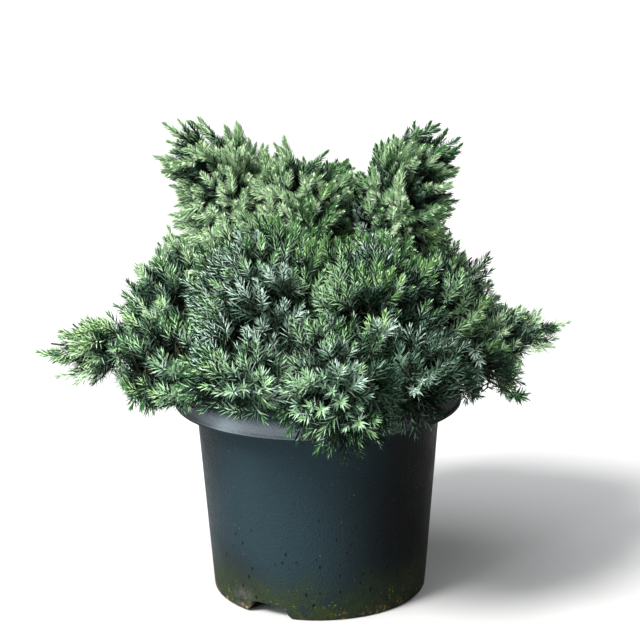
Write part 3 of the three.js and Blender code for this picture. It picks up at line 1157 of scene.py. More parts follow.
@dataclass
class Mass:
    """The space of one mass of foliage, and the bough that carries it.

    Args:
        name: Its name.
        middle: Its middle.
        half: Its half sizes along its growth, level across it, and square to both.
        start: The height on the trunk where its bough starts.
        leader: Whether the bough carries on up from the fork.
        index: Its number, which seeds its random draws.
    """

    name: str
    middle: Array
    half: Array
    start: float
    leader: bool
    index: int
    axes: Array = field(init=False)
    radius: float = field(init=False)
    normals: Array = field(init=False)
    distances: Array = field(init=False)

    def __post_init__(self) -> None:
        """Works out the axes."""
        growth = unit(self.middle - HEART_CENTRE)
        across = unit(np.cross(UP, growth))
        self.axes = np.array([growth, across, np.cross(growth, across)])
        self.radius = float(np.mean(self.half))

    @property
    def growth(self) -> Array:
        """The direction that the mass grows in."""
        return self.axes[0]

    @property
    def limb_radii(self) -> Span:
        """The radius of the mass's bough at its start, and at its end, where the stem goes on."""
        return (4.1, 2.4) if self.leader else (3.3, 1.9)

    def bound(self, others: Sequence["Mass"]) -> None:
        """Works out the planes that part this mass's space from the others'.

        Args:
            others: All the masses.
        """
        balls = [(m.middle, m.radius) for m in others if m is not self] + [(HEART_CENTRE, HEART_RADIUS)]
        toward = np.array([centre - self.middle for centre, _ in balls])
        apart = np.linalg.norm(toward, axis=1)
        theirs = np.array([radius for _, radius in balls])
        self.normals = toward / apart[:, None]
        self.distances = (apart**2 + self.radius**2 - theirs**2) / (2 * apart) - MASS_GAP / 2

    def cell_reach(self, directions: Array) -> Array:
        """How far the mass's space runs from its middle in each direction.

        Args:
            directions: The directions, of length 1.

        Returns:
            The reaches.
        """
        slopes = directions @ self.normals.T
        reach = np.where(slopes > 1e-6, self.distances / np.maximum(slopes, 1e-6), 1e9)
        return reach.min(axis=1)

    def own_reach(self, directions: Array) -> Array:
        """How far the mass runs by itself: an ellipsoid with a tail drawn in towards the heart.

        Args:
            directions: The directions, of length 1.

        Returns:
            The reaches.
        """
        shares = directions @ self.axes.T / self.half
        inward = np.maximum(0, -directions @ self.growth)
        return (1 + TAIL * inward**3) / np.linalg.norm(shares, axis=1)

    def level(self, points: Array) -> Array:
        """How far out in the mass points lie: 0 in its middle and 1 at its reach.

        Args:
            points: The points.

        Returns:
            Their levels.
        """
        away = points - self.middle
        far = np.linalg.norm(away, axis=1)
        return far / np.maximum(self.own_reach(away / np.maximum(far, 1e-6)[:, None]), 1e-6)

    def stem_foot(self) -> Array:
        """Where the line from the heart to the middle enters the mass's own space.

        Returns:
            The point.
        """
        inward = -self.growth[None]
        back = min(self.cell_reach(inward)[0], self.own_reach(inward)[0])
        return self.middle - self.growth * (back - 2)

    def bough(self) -> Array:
        """The control points of the bough's line, from inside the trunk to the stem's foot.

        Returns:
            The four points.
        """
        end = self.stem_foot()
        along = unit(self.middle - end)
        share = (self.start - TRUNK_FOOT[2]) / (TRUNK_FORK[2] - TRUNK_FOOT[2])
        start = TRUNK_FOOT + (TRUNK_FORK - TRUNK_FOOT) * share
        out = end - start
        run = float(np.linalg.norm(out))
        out[2] = 0
        lead = unit(unit(out) + UP * (1.3 if self.leader else 0.25))
        last = end - along * 0.3
        return np.array([start, start + lead * 0.36 * run, last - along * 0.34 * run, last])


def crown_masses() -> list[Mass]:
    """Lists the masses of foliage.

    Returns:
        The masses, each with the planes that bound it.
    """
    table = [
        ("upper_left", (-72, 16, 323), (70, 54, 48), 202, True),
        ("upper_middle", (-15, 2, 314), (54, 54, 56), 213, True),
        ("upper_right", (68, 12, 315), (74, 54, 46), 205, True),
        ("upper_back", (4, 80, 274), (68, 68, 62), 207, True),
        ("left_shoulder", (-102, -18, 239), (58, 60, 54), 199, False),
        ("right_shoulder", (89, -22, 241), (56, 60, 46), 198, False),
        ("front_high", (-40, -74, 266), (62, 60, 58), 208, False),
        ("front_right_high", (40, -84, 254), (60, 56, 58), 203, False),
        ("front_right_low", (70, -110, 205), (58, 48, 50), 190, False),
        ("front_low", (14, -134, 200), (58, 48, 60), 181, False),
        ("front_left_low", (-54, -116, 206), (56, 52, 50), 191, False),
        ("left_low", (-112, -62, 202), (56, 50, 42), 186, False),
        ("far_left", (-166, 6, 198), (70, 46, 30), 188, False),
        ("far_right", (146, 2, 203), (62, 48, 32), 187, False),
        ("right_low", (113, -52, 194), (52, 46, 32), 182, False),
        ("back_left", (-93, 83, 219), (70, 70, 66), 196, False),
        ("back_middle", (-4, 131, 206), (68, 66, 62), 193, False),
        ("back_right", (89, 86, 219), (70, 70, 66), 194, False),
    ]
    masses = [
        Mass(name, np.array(middle, float), np.array(half, float), start, leader, index)
        for index, (name, middle, half, start, leader) in enumerate(table)
    ]
    for mass in masses:
        mass.bound(masses)
    return masses


@dataclass(frozen=True)
class Layer:
    """One depth of shoots in a mass.

    Args:
        depth: Where the tips of its branchlets lie, as a share of the mass's reach.
        spacing: The rough distance between those tips.
        length: The least and the greatest length of a branchlet.
        sides: How many side shoots a branchlet has.
        gap: From one whorl of needles to the next.
    """

    depth: float
    spacing: float
    length: Span
    sides: int
    gap: float


@dataclass(frozen=True)
class Patch:
    """A part of the crown with more or less new growth; its bloom is painted light where positive and painted
    shade where negative.
    """

    middle: Point
    radius: float
    freshness: float = 0.0
    # Painted light where positive (paler tones), painted shade where negative (darker tones).
    bloom: float = 0.0

    def share(self, point: Array) -> float:
        """How much of the patch's effect a point gets."""
        return math.exp(-((np.linalg.norm(point - self.middle) / self.radius) ** 2))


# Tips that the crown's outline runs through, beyond what its masses reach evenly.
FURTHEST_TIPS: dict[str, tuple[Point, ...]] = {
    "upper_left": (
        (-117, 10, 377), (-90, 10, 381), (-58, 10, 372), (-70, 10, 374),
        (-124, 5, 352), (-118, 0, 342), (-112, 0, 330), (-96, -12, 362),
    ),
    "left_shoulder": ((-116, 0, 296), (-151, -10, 246), (-145, -20, 240)),
    "left_low": ((-143, -55, 178), (-131, -62, 174)),
    "far_left": ((-222, 5, 195), (-205, -10, 179), (-190, -20, 177), (-186, 5, 220)),
    "far_right": ((199, 5, 215), (189, 0, 203), (164, 0, 226), (150, -8, 222)),
    "right_low": ((163, -30, 165), (151, -36, 167), (150, -40, 180)),
    "upper_right": (
        (95, 10, 374), (113, 8, 358), (109, 8, 337), (106, 0, 309),
        (48, 10, 358), (62, 10, 361), (78, 0, 366),
    ),
    "upper_middle": (
        (-24, 0, 362), (8, 0, 355), (23, 0, 348),
        (6, -48, 304), (16, -44, 314), (-20, -47, 316), (-27, -44, 322),
    ),
    "front_low": ((19, -158, 157),),
}
# How full a mass is, where it is less so than the rest.
FULLNESS: dict[str, float] = {
    "upper_left": 0.96,
    "upper_middle": 0.90,
    "upper_right": 0.95,
    "left_low": 0.94,
    **{name: 0.92 for name in ("right_shoulder", "right_low", "far_right", "far_left")},
}
# Dents in the crown's outline: x, z and radius. No tip lies in one.
DENTS: tuple[tuple[float, float, float], ...] = (
    (-214, 212, 9), (-203, 183, 8), (-160, 180, 16), (-156, 183, 12), (-136, 163, 10),
    (-150, 266, 10), (-133, 292, 10), (-125, 288, 9), (-122, 318, 13), (-122, 364, 8),
    (-79, 377, 13), (-47, 371, 12), (-5, 356, 13), (16, 352, 9), (33, 352, 12),
    (53, 377, 10), (66, 378, 13), (81, 384, 12), (119, 348, 8), (117, 328, 11), (134, 262, 14),
    (173, 188, 15), (128, 164, 12), (107, 158, 19), (103, 169, 11), (100, 181, 11),
)
# How low the tips of a mass hang where it shows the collar of the pot.
HEMS: dict[str, float] = {
    "front_left_low": 187,
    "left_low": 170,
    "front_low": 158,
    "front_right_low": 170,
    "right_low": 176,
}


@dataclass(frozen=True)
class Dress:
    """What the needles of one branchlet and its side shoots share.

    Args:
        tones: The tone of a shoot's lower part, that of its end, and where along it the end starts.
        gap: From one whorl of needles to the next, before the habit loosens it.
        level: How far out in the whole crown the branchlet's tip lies.
        reach: How far the mass reaches in its direction.
    """

    tones: tuple[int, int, float]
    gap: float
    level: float
    reach: float


Habit = tuple[float, float, float, float]


@dataclass
class Foliage:
    """The twigs, shoots and needles of one mass.

    The habit changes from the sprays over the pot to the tufts at the top: a value of the type Habit has one
    number for each of habit_heights, the heights of a shoot's tip.

    Args:
        mass: The mass's space.
        masses: All the masses.
        layers: The depths of shoots, from the outermost in.
        directions: How many main twigs are tried.
        jitter: How far their directions stray from an even spread.
        twig_reach: A main twig's least share of the mass's reach, and what is drawn on top.
        twig_end: Where a main twig ends, as a share of that reach.
        root_share: How much of a spray is sunk in the mass's core.
        shortest_twig: The shortest spray that gets a main twig.
        main_radii: A main twig's radius at its foot and at its end.
        side_radii: That of a side twig with its branchlet.
        shoot_radii: That of a side shoot.
        twig_gap: How far main twigs keep from the pot.
        pot_gap: How far tips keep from it.
        limb_gap: How far branchlets keep from it, as a share of that.
        fullness: The least and the greatest share of the reach that tips get.
        tip_stray: How far tips stray from an even spread, over the root of their number.
        deepest: The lowest level of a tip in any mass.
        hollow: How far the crown falls back between the main twigs.
        overshoot: How far needles reach past their tips.
        overlap: How far tips reach over the planes between masses.
        blend: How sharply the masses' levels blend to the crown's.
        most_swell: How much further it reaches, at most, where masses meet.
        draw_in: How far a tip in a dent is drawn in at a time.
        longest_side: The longest side twig.
        most_bare: The highest level of a branchlet's foot: low down, higher up, and at the furthest tips.
        bare_heights: Where the first of these passes to the second.
        turns_in: How often a branchlet whose foot shows is turned outward, and how far.
        pot_zone: How near the axis the front's branchlets may not stand out over the pot.
        closing_run: Over how much of its end a shoot closes.
        dim_below: How deep under the crown's skin needles get painted shade.
        dark_below: How deep they get the darkest painted shade.
        thin_zone: Where, away from the axis, the crown thins and its painted shade starts only deeper down.
        thinning: How many times deeper, at its edge.
        flatness: How much of a branchlet's outward lean is taken out.
        flat_zone: Where, away from the axis, that ends.
        most_outward: How far outward a branchlet of the pot zone may point.
        lift_heights: The heights that lifts go with.
        lifts: How much a branchlet turns up, or hangs.
        hang_zone: Where, away from the axis, hanging ends.
        top_heights: Where the top begins, whose shoots fan out sideways instead.
        top_zone: Where, away from the axis, they do.
        aim_stray: How far a branchlet's direction strays.
        side_leans: A side shoot's least and greatest lean, in radians.
        dead_share: The share of side shoots that are dead.
        dead_heights: Between which heights there are any.
        freshness: How much new growth there is outside the patches.
        strays: How far a branchlet's freshness and its bloom stray.
        patches: Where the crown's colours differ: more or less new growth, painted light and painted shade.
    """

    mass: Mass
    masses: Sequence[Mass]
    layers: tuple[Layer, ...] = (
        Layer(1.0, 23.5, (38.0, 54.0), 5, 1.9),
        Layer(0.80, 27.0, (32.0, 44.0), 3, 2.8),
        Layer(0.55, 34.0, (28.0, 36.0), 1, 3.4),
    )
    directions: int = 40
    jitter: float = 0.32
    twig_reach: Span = (0.92, 0.16)
    twig_end: float = 0.74
    root_share: float = 0.32
    shortest_twig: float = 22
    main_radii: Span = (1.5, 0.8)
    side_radii: Span = (0.9, 0.5)
    shoot_radii: Span = (0.6, 0.4)
    twig_gap: float = 2.5
    pot_gap: float = 5.5
    limb_gap: float = 0.6
    fullness: Span = (0.93, 1.07)
    tip_stray: float = 1.4
    deepest: float = 0.60
    hollow: float = 0.10
    overshoot: float = 6.0
    overlap: float = 6.0
    blend: float = 5.0
    most_swell: float = 1.16
    draw_in: float = 0.87
    longest_side: float = 60
    most_bare: tuple[float, float, float] = (0.91, 0.80, 0.97)
    bare_heights: Span = (185.0, 215.0)
    turns_in: tuple[int, float] = (6, 0.35)
    pot_zone: float = 172
    habit_heights: Habit = (160.0, 205.0, 260.0, 330.0)
    needle_lengths: Habit = (11.4, 10.8, 9.8, 8.2)
    girths: Habit = (1.35, 1.32, 1.32, 1.45)
    open_angles: Habit = (0.90, 0.90, 0.85, 0.66)
    looseness: Habit = (1.18, 1.02, 0.86, 0.70)
    closing_run: float = 9.0
    dim_below: Habit = (3.4, 4.5, 7.0, 13.5)
    dark_below: Habit = (7.0, 9.0, 13.0, 26.0)
    thin_zone: Span = (140.0, 185.0)
    thinning: float = 2.2
    flatness: Habit = (0.95, 0.85, 0.62, 0.55)
    flat_zone: Span = (165.0, 205.0)
    most_outward: Habit = (0.84, 0.92, 0.99, 1.0)
    lift_heights: tuple[float, ...] = (165.0, 190.0, 215.0, 250.0, 300.0)
    lifts: tuple[float, ...] = (-1.0, -0.5, 0.1, 0.55, 0.70)
    hang_zone: Span = (150.0, 185.0)
    top_heights: Span = (290.0, 330.0)
    top_zone: Span = (70.0, 120.0)
    aim_stray: float = 0.08
    side_leans: Span = (0.50, 0.72)
    dead_share: float = 0.004
    dead_heights: Span = (215.0, 290.0)
    freshness: float = 0.35
    strays: Span = (0.22, 0.15)
    # Patches with a positive bloom paint light, at the top and on the sides; those with a negative one paint
    # shade, low at the front and at the lower right.
    patches: tuple[Patch, ...] = (
        Patch((-85, 0, 345), 74, 0.30, 1.6),
        Patch((40, -120, 262), 52, 0.42),
        Patch((-20, -60, 318), 48, 0.25),
        Patch((20, -165, 172), 32, 0.28),
        Patch((85, -100, 250), 45, 0.25),
        Patch((-45, -110, 262), 42, -0.8),
        Patch((70, 0, 335), 55, 0.10, 0.58),
        Patch((-190, -5, 190), 45, 0.60, 0.75),
        Patch((180, 0, 208), 42, 0.60, 0.60),
        Patch((112, -50, 252), 55, 0.40, 0.40),
        Patch((-122, -15, 262), 38, 0.35, 0.45),
        Patch((152, -35, 180), 36, 0.20, 1.0),
        Patch((0, -140, 185), 58, -0.30, -0.45),
        Patch((70, -130, 185), 45, -0.25, -0.30),
        Patch((-135, -60, 178), 30, 0.20, 0.30),
        Patch((86, -108, 198), 52, -0.45, -1.9),
    )
    shoots: Lines = field(default_factory=Lines)
    twigs: Lines = field(default_factory=Lines)
    random: np.random.Generator = field(init=False)
    heads: Array = field(init=False)

    def grow(self) -> None:
        """Fills the shoots and the twigs."""
        self.random = np.random.default_rng(9001 + self.mass.index)
        samples, tangents = self._main_twigs()
        for number, layer in enumerate(self.layers):
            self._grow_layer(number, layer, samples, tangents)

    def _at(self, height: float, habit: Habit) -> float:
        """What a habit's value is at a height."""
        return ramp(height, self.habit_heights, habit)

    def _main_twigs(self) -> tuple[Array, Array]:
        """Grows the stem and the twigs that the part's sprays stand for.

        Returns:
            Points on the twigs, and the direction of the twig at each.
        """
        mass, draws = self.mass, seeded_draws(101 + 37 * self.mass.index)
        foot = mass.stem_foot()
        shares = np.linspace(0, 1, 9)
        stem = foot + (mass.middle - foot) * shares[:, None]
        self.twigs.add(stem, radius=(mass.limb_radii[1] * (1 - 0.45 * shares)) * MM)
        samples, tangents, heads = [stem], [np.tile(mass.growth, (9, 1))], []
        least, more = self.twig_reach
        for i in range(self.directions):
            z = 1 - (2 * i + 1) / self.directions
            ring = math.sqrt(1 - z * z)
            direction = np.array([ring * math.cos(GOLDEN_ANGLE * i), ring * math.sin(GOLDEN_ANGLE * i), z])
            nudge = np.array([next(draws) - 0.5 for _ in range(3)])
            direction = unit(direction + nudge * self.jitter)
            own = mass.own_reach(direction[None])[0]
            reach = min(own * (least + more * next(draws)), mass.cell_reach(direction[None])[0] - 1)
            next(draws)  # A spray's roll, which a round twig has no use for.
            if reach * (1 - self.root_share) < self.shortest_twig:
                continue
            end = mass.middle + direction * reach * self.twig_end
            back = 0.5 + 0.5 * float(direction @ mass.growth)
            start = foot + (mass.middle - foot) * (0.25 + 0.75 * back)
            bend = start + (end - start) * 0.45 + mass.growth * reach * 0.16
            line = bezier([start, bend, end], np.linspace(0, 1, 8))
            if not POT.clear(line, self.twig_gap).all() or not self._allowed(line[-3:] - 4 * UP).all():
                continue
            heads.append(direction)
            self.twigs.add(line, radius=np.linspace(*self.main_radii, 8) * MM)
            samples.append(line[2:])
            tangents.append(unit(np.gradient(line, axis=0))[2:])
        self.heads = np.array(heads)
        return np.concatenate(samples), np.concatenate(tangents)

    def _targets(self, layer: Layer) -> tuple[Array, Array]:
        """Spreads the tips of one layer's shoots evenly over the mass.

        Args:
            layer: The layer.

        Returns:
            The tips, and how bare the foot of each one's branchlet may be.
        """
        mass, random = self.mass, self.random
        area = 4 * math.pi * (mass.radius * layer.depth) ** 2
        spacing = layer.spacing * ramp(mass.middle[2], (200.0, 260.0, 320.0), (1.12, 1.0, 0.93))
        count = int(area / spacing**2)
        turn = random.uniform(0, 2 * math.pi)
        numbers = np.arange(count)
        z = 1 - (2 * numbers + 1) / count
        ring = np.sqrt(1 - z * z)
        angle = GOLDEN_ANGLE * numbers + turn
        directions = np.stack([ring * np.cos(angle), ring * np.sin(angle), z], axis=1)
        directions = unit(directions + random.normal(0, self.tip_stray / math.sqrt(count), (count, 3)))
        own = mass.own_reach(directions) * FULLNESS.get(mass.name, 1.0)
        own = own * self._swell(mass.middle + directions * own[:, None])
        off_head = np.arccos(np.clip((directions @ self.heads.T).max(axis=1), -1, 1))
        hollow = self.hollow * ramp(mass.middle[2], (250.0, 300.0), (1.0, 0.5))
        full = own * (random.uniform(*self.fullness, count) - hollow * np.minimum(off_head / 0.3, 1.3) ** 2)
        reach = np.minimum(full - self.overshoot, mass.cell_reach(directions) + self.overlap) * layer.depth
        tips = mass.middle + directions * reach[:, None]
        for _ in range(3):
            dented = ~self._undented(tips)
            tips[dented] = mass.middle + (tips[dented] - mass.middle) * self.draw_in
        level = np.min([other.level(tips) for other in self.masses], axis=0)
        wide = unit(tips - HEART_CENTRE) @ mass.growth > -0.2
        keep = (level > self.deepest) & POT.clear(tips, self.pot_gap) & wide & self._allowed(tips)
        tips = tips[keep]
        most_bare = np.interp(tips[:, 2], self.bare_heights, self.most_bare[:2])
        furthest = FURTHEST_TIPS.get(mass.name, ()) if layer.depth == 1.0 else ()
        if furthest:
            tips = np.concatenate([tips, np.array(furthest)])
            most_bare = np.append(most_bare, [self.most_bare[2]] * len(furthest))
        return tips, most_bare

    def _swell(self, points: Array) -> Array:
        """How much further the crown reaches where masses meet, so that no cleft parts them."""
        return np.clip(1 / self._crown_level(points), 1.0, self.most_swell)

    def _crown_level(self, points: Array) -> Array:
        """How far out points lie in all the masses together: 1 at the crown's skin."""
        levels = np.array([other.level(points) for other in self.masses])
        return np.sum(np.maximum(levels, 0.05) ** -self.blend, axis=0) ** (-1 / self.blend)

    def _allowed(self, tips: Array) -> Array:
        """Whether tips keep above their mass's hem and out of the crown's dents."""
        return (tips[:, 2] > HEMS.get(self.mass.name, 0.0)) & self._undented(tips)

    @staticmethod
    def _undented(points: Array) -> Array:
        """Whether points keep out of the crown's dents.

        Args:
            points: The points.

        Returns:
            Yes or no for each.
        """
        fits = np.ones(len(points), bool)
        for x, z, radius in DENTS:
            fits &= np.hypot(points[:, 0] - x, points[:, 2] - z) > radius
        return fits

    def _hidden(self, base: Array, most_bare: float) -> bool:
        """Whether a branchlet's foot lies inside the crown and above the hem."""
        level = min(float(other.level(base[None])[0]) for other in self.masses)
        return level < most_bare and base[2] > HEMS.get(self.mass.name, 0.0) - 2

    def _aim(self, tip: Array, direction: Array) -> Array:
        """Works out which way a branchlet grows: on with its mass, fanned out, and up or down by its height.

        Args:
            tip: Where it ends.
            direction: From the mass's middle to the tip.

        Returns:
            Its direction, of length 1.
        """
        near = self.heads[int(np.argmax(self.heads @ direction))]
        spread = math.hypot(tip[0], tip[1])
        lift = ramp(tip[2], self.lift_heights, self.lifts)
        if lift < 0:
            lift *= ramp(spread, self.hang_zone, (1.0, 0.0))
        high = ramp(tip[2], self.top_heights)
        sideways = high * ramp(spread, self.top_zone)
        lift *= 1 - 0.75 * sideways
        fan = np.array([tip[0], 0.3 * tip[1], 0.0]) / 110
        fan *= 0.7 / max(1.0, float(np.linalg.norm(fan)))
        aim = (0.20 + 0.5 * sideways) * direction + 0.60 * near + 0.40 * self.mass.growth + fan + lift * UP
        aim = unit(aim)
        outward = unit(tip - CROWN_CENTRE)
        flatness = self._at(tip[2], self.flatness)
        flatness *= ramp(spread, self.flat_zone, (1.0, 0.0))
        aim = aim - outward * float(aim @ outward) * flatness
        return unit(aim + self.random.normal(0, self.aim_stray, 3))

    def _stands_out(self, tip: Array, aim: Array) -> bool:
        """Whether a branchlet of the front, near the pot, points too far outward.

        Args:
            tip: Where it ends.
            aim: Its direction.

        Returns:
            Whether it does.
        """
        outward = float(aim @ unit(tip - CROWN_CENTRE))
        near_pot = math.hypot(tip[0], tip[1]) < self.pot_zone and tip[1] < 0
        return near_pot and outward > self._at(tip[2], self.most_outward)

    def _grow_layer(self, number: int, layer: Layer, samples: Array, tangents: Array) -> None:
        """Grows one layer of branchlets, each on a side twig from the nearest main twig.

        Args:
            number: The layer's number, from the outermost.
            layer: The layer.
            samples: Points on the main twigs.
            tangents: The direction of the twig at each of them.
        """
        mass, random = self.mass, self.random
        tries, outward = self.turns_in
        for tip, most_bare in zip(*self._targets(layer)):
            direction = unit(tip - mass.middle)
            aim = self._aim(tip, direction)
            length = random.uniform(*layer.length)
            base = tip - aim * length
            for _ in range(tries):
                if self._hidden(base, most_bare):
                    break
                aim = unit(aim + direction * outward)
                base = tip - aim * length
            if self._stands_out(tip, aim) or not self._hidden(base, most_bare):
                continue
            side = self._side_twig(base, aim, samples, tangents)
            if side is None:
                continue
            axis = bezier([base, base + aim * length * 0.5 - UP * length * 0.06, tip], np.linspace(0, 1, 9))
            if not POT.clear(np.concatenate([side[3:], axis]), self.pot_gap * self.limb_gap).all():
                continue
            even = number == 0 and most_bare < self.most_bare[2]
            if even and not self._undented(side[3:-1]).all():
                continue
            tones = self._tones(tip, number)
            level, reach = float(self._crown_level(tip[None])[0]), float(mass.own_reach(direction[None])[0])
            dress = Dress(tones, layer.gap, level, reach)
            limb = np.concatenate([side[:-1], axis[:6]])
            self.twigs.add(limb, radius=np.linspace(*self.side_radii, len(limb)) * MM)
            self._cover(axis[2:], dress)
            self._side_shoots(axis, aim, length, layer.sides, dress)

    def _side_twig(self, base: Array, aim: Array, samples: Array, tangents: Array) -> Array | None:
        """Draws the side twig that joins a branchlet's foot to the best main twig near it.

        Args:
            base: The foot.
            aim: The branchlet's direction.
            samples: Points on the main twigs.
            tangents: The direction of the twig at each of them.

        Returns:
            The side twig's line, or nothing where every main twig is too far.
        """
        far = np.linalg.norm(base - samples, axis=1)
        along = np.einsum("ij,j->i", tangents, aim)
        cost = far + 14 * (1 - along) + np.where(far < 4, 30, 0)
        root = int(np.argmin(cost))
        run, start, leave = far[root], samples[root], tangents[root]
        if run > self.longest_side:
            return None
        hold = run * 0.35
        return bezier([start, start + leave * hold, base - aim * hold, base], np.linspace(0, 1, 6))

    def _side_shoots(self, axis: Array, aim: Array, length: float, count: int, dress: Dress) -> None:
        """Grows the side shoots of a branchlet, longest at its foot, all swept forward.

        Args:
            axis: The branchlet's line.
            aim: Its direction.
            length: Its length.
            count: How many side shoots are tried.
            dress: What its needles share.
        """
        random = self.random
        across = unit(np.cross(axis[-1] - CROWN_CENTRE, aim))
        over = np.cross(aim, across)
        for i in range(count):
            place = 0.16 + 0.50 * (i + random.uniform(0.2, 0.8)) / count
            spot = axis[0] + (axis[-1] - axis[0]) * place
            around = math.pi * i + random.normal(0, 0.35)
            out = across * math.cos(around) + over * math.sin(around)
            reach = length * (0.66 - 0.50 * place) * random.uniform(0.85, 1.15)
            lean = random.uniform(*self.side_leans)
            end = spot + (aim * math.cos(lean) + out * math.sin(lean)) * reach
            away = end - self.mass.middle
            far = float(np.linalg.norm(away))
            heading = (away / far)[None]
            reach_there = min(self.mass.cell_reach(heading)[0] + 4, self.mass.own_reach(heading)[0] * 1.04)
            if far > reach_there or not self._allowed(end[None])[0]:
                continue
            bend = spot + (aim * math.cos(lean + 0.3) + out * math.sin(lean + 0.3)) * reach * 0.5
            line = bezier([spot, bend, end], np.linspace(0, 1, 6))
            if not POT.clear(line, self.pot_gap * self.limb_gap).all():
                continue
            self.twigs.add(line[:5], radius=np.linspace(*self.shoot_radii, 5) * MM)
            low, high = self.dead_heights
            dead = random.random() < self.dead_share and low < end[2] < high
            self._cover(line[1:], replace(dress, tones=(Tone.DEAD, Tone.DEAD, 2.0)) if dead else dress)

    def _cover(self, line: Array, dress: Dress) -> None:
        """Covers a line with needles: painted shade at its foot and deep under the crown's skin, and the
        fresh tone at its end.

        Args:
            line: The line.
            dress: What its needles share.
        """
        tone, tip_tone, tip_from = dress.tones
        along = np.linspace(0, 1, len(line))
        run = float(np.linalg.norm(line[-1] - line[0]))
        below = (dress.level - self._crown_level(line)) * dress.reach
        height = float(line[-1][2])
        thin = ramp(math.hypot(line[-1][0], line[-1][1]), self.thin_zone, (1.0, self.thinning))
        dim, dark = (thin * self._at(height, each) for each in (self.dim_below, self.dark_below))
        # Painted shade: needles at a shoot's foot or deep under the crown's skin get the darker tones.
        first = np.where((below > dim) | (along < 0.12), np.minimum(Tone.DEEP, tone), tone)
        first = np.where(below > dark, Tone.SHADE, first)
        self.shoots.add(
            line,
            along=along,
            close=np.clip(1 - (1 - along) * run / self.closing_run, 0, 1),
            tone=first,
            tip_tone=np.where(below > dim, first, tip_tone),
            tip_from=tip_from,
            needle=self._at(height, self.needle_lengths) * self.random.uniform(0.92, 1.08) * MM,
            girth=self._at(height, self.girths) * MM,
            open=self._at(height, self.open_angles),
            gap=dress.gap * self._at(height, self.looseness) * MM,
        )

    def _tones(self, tip: Array, number: int) -> tuple[int, int, float]:
        """Deals out a shoot's colours by where it is: painted shade for the inner layers, and painted light
        and shade from the patches.

        Args:
            tip: Where it ends.
            number: The number of its layer, from the outermost.

        Returns:
            The tone of its lower part, the tone of its end, and where along the shoot the end starts.
        """
        random = self.random
        shares = [patch.share(tip) for patch in self.patches]
        fresh = self.freshness + sum(patch.freshness * share for patch, share in zip(self.patches, shares))
        bloom = sum(patch.bloom * share for patch, share in zip(self.patches, shares))
        bloom += random.normal(0, self.strays[1])
        fresh += random.normal(0, self.strays[0])
        # Painted shade: the inner layers, and the darkest patches, get the shade tones.
        if number == 2:
            return Tone.SHADE, Tone.SHADE, 1.0
        if number == 1 or bloom < -1.1:
            return Tone.SHADE, Tone.DEEP, 0.5
        # Painted shade in the darker patches.
        if bloom < -0.5:
            return Tone.DEEP, (Tone.BLUE if random.random() < 0.5 else Tone.DEEP), 0.5
        # Painted light: the pale tone in the lighter patches.
        if bloom > 0.5:
            return Tone.PALE, (Tone.NEW if fresh > 0.9 else Tone.PALE), 0.6
        if fresh > 0.85:
            return Tone.FRESH, Tone.NEW, 0.45
        if fresh > 0.55:
            return Tone.GREEN, (Tone.NEW if random.random() < 0.35 else Tone.FRESH), 0.5
        if fresh > 0.25:
            return Tone.GREEN, (Tone.FRESH if random.random() < 0.5 else Tone.GREEN), 0.6
        if fresh > 0.0:
            return Tone.BLUE, Tone.GREEN, 0.6
        return Tone.BLUE, Tone.BLUE, 1.0


@dataclass
class Crown:
    """All the foliage, and the boughs that carry it."""

    palette: Palette
    bough_sides: int = 12

    def build(self) -> list[Object]:
        """Builds and dresses every piece of the crown.

        Returns:
            The pieces.
        """
        masses = crown_masses()
        whorls = NeedleTree(self.palette.needles)
        needle, tree = whorls.needle(), whorls.tree()
        twig_tree = limb_tree("twigs", self.palette.twig)
        pieces = [self._boughs(masses)]
        for mass in masses:
            foliage = Foliage(mass, masses)
            foliage.grow()
            values = {"Needle": needle, "Seed": mass.index * 17 + 5}
            needles = grown(foliage.shoots.seed("shoots"), tree, values, f"needles_{mass.name}")
            pieces.append(settle(needles, Slot.FOLIAGE, [f"foliage_{mass.name}"]))
            values = {"Sides": 3, "Spacing": 0.006}
            twigs = grown(foliage.twigs.seed("twigs"), twig_tree, values, f"twigs_{mass.name}")
            pieces.append(settle(twigs, Slot.BARK))
        bpy.data.objects.remove(needle)
        return pieces

    def _boughs(self, masses: Sequence[Mass]) -> Object:
        """Makes the boughs, with the bark's relief.

        Args:
            masses: The masses that they carry.

        Returns:
            The piece.
        """
        lines = Lines()
        for mass in masses:
            base, tip = mass.limb_radii
            shares = np.linspace(0, 1, 16)
            lines.add(bezier(mass.bough(), shares), radius=(base + (tip - base) * shares) * MM)
        tree = limb_tree("boughs", self.palette.bark)
        values = {"Sides": self.bough_sides, "Spacing": 0.002, "Relief": 0.0012, "Relief Scale": 380.0}
        boughs = grown(lines.seed("bough_lines"), tree, values, "boughs")
        boughs.data.shade_smooth()
        return settle(boughs, Slot.BARK, [f"bough_{mass.name}" for mass in masses])


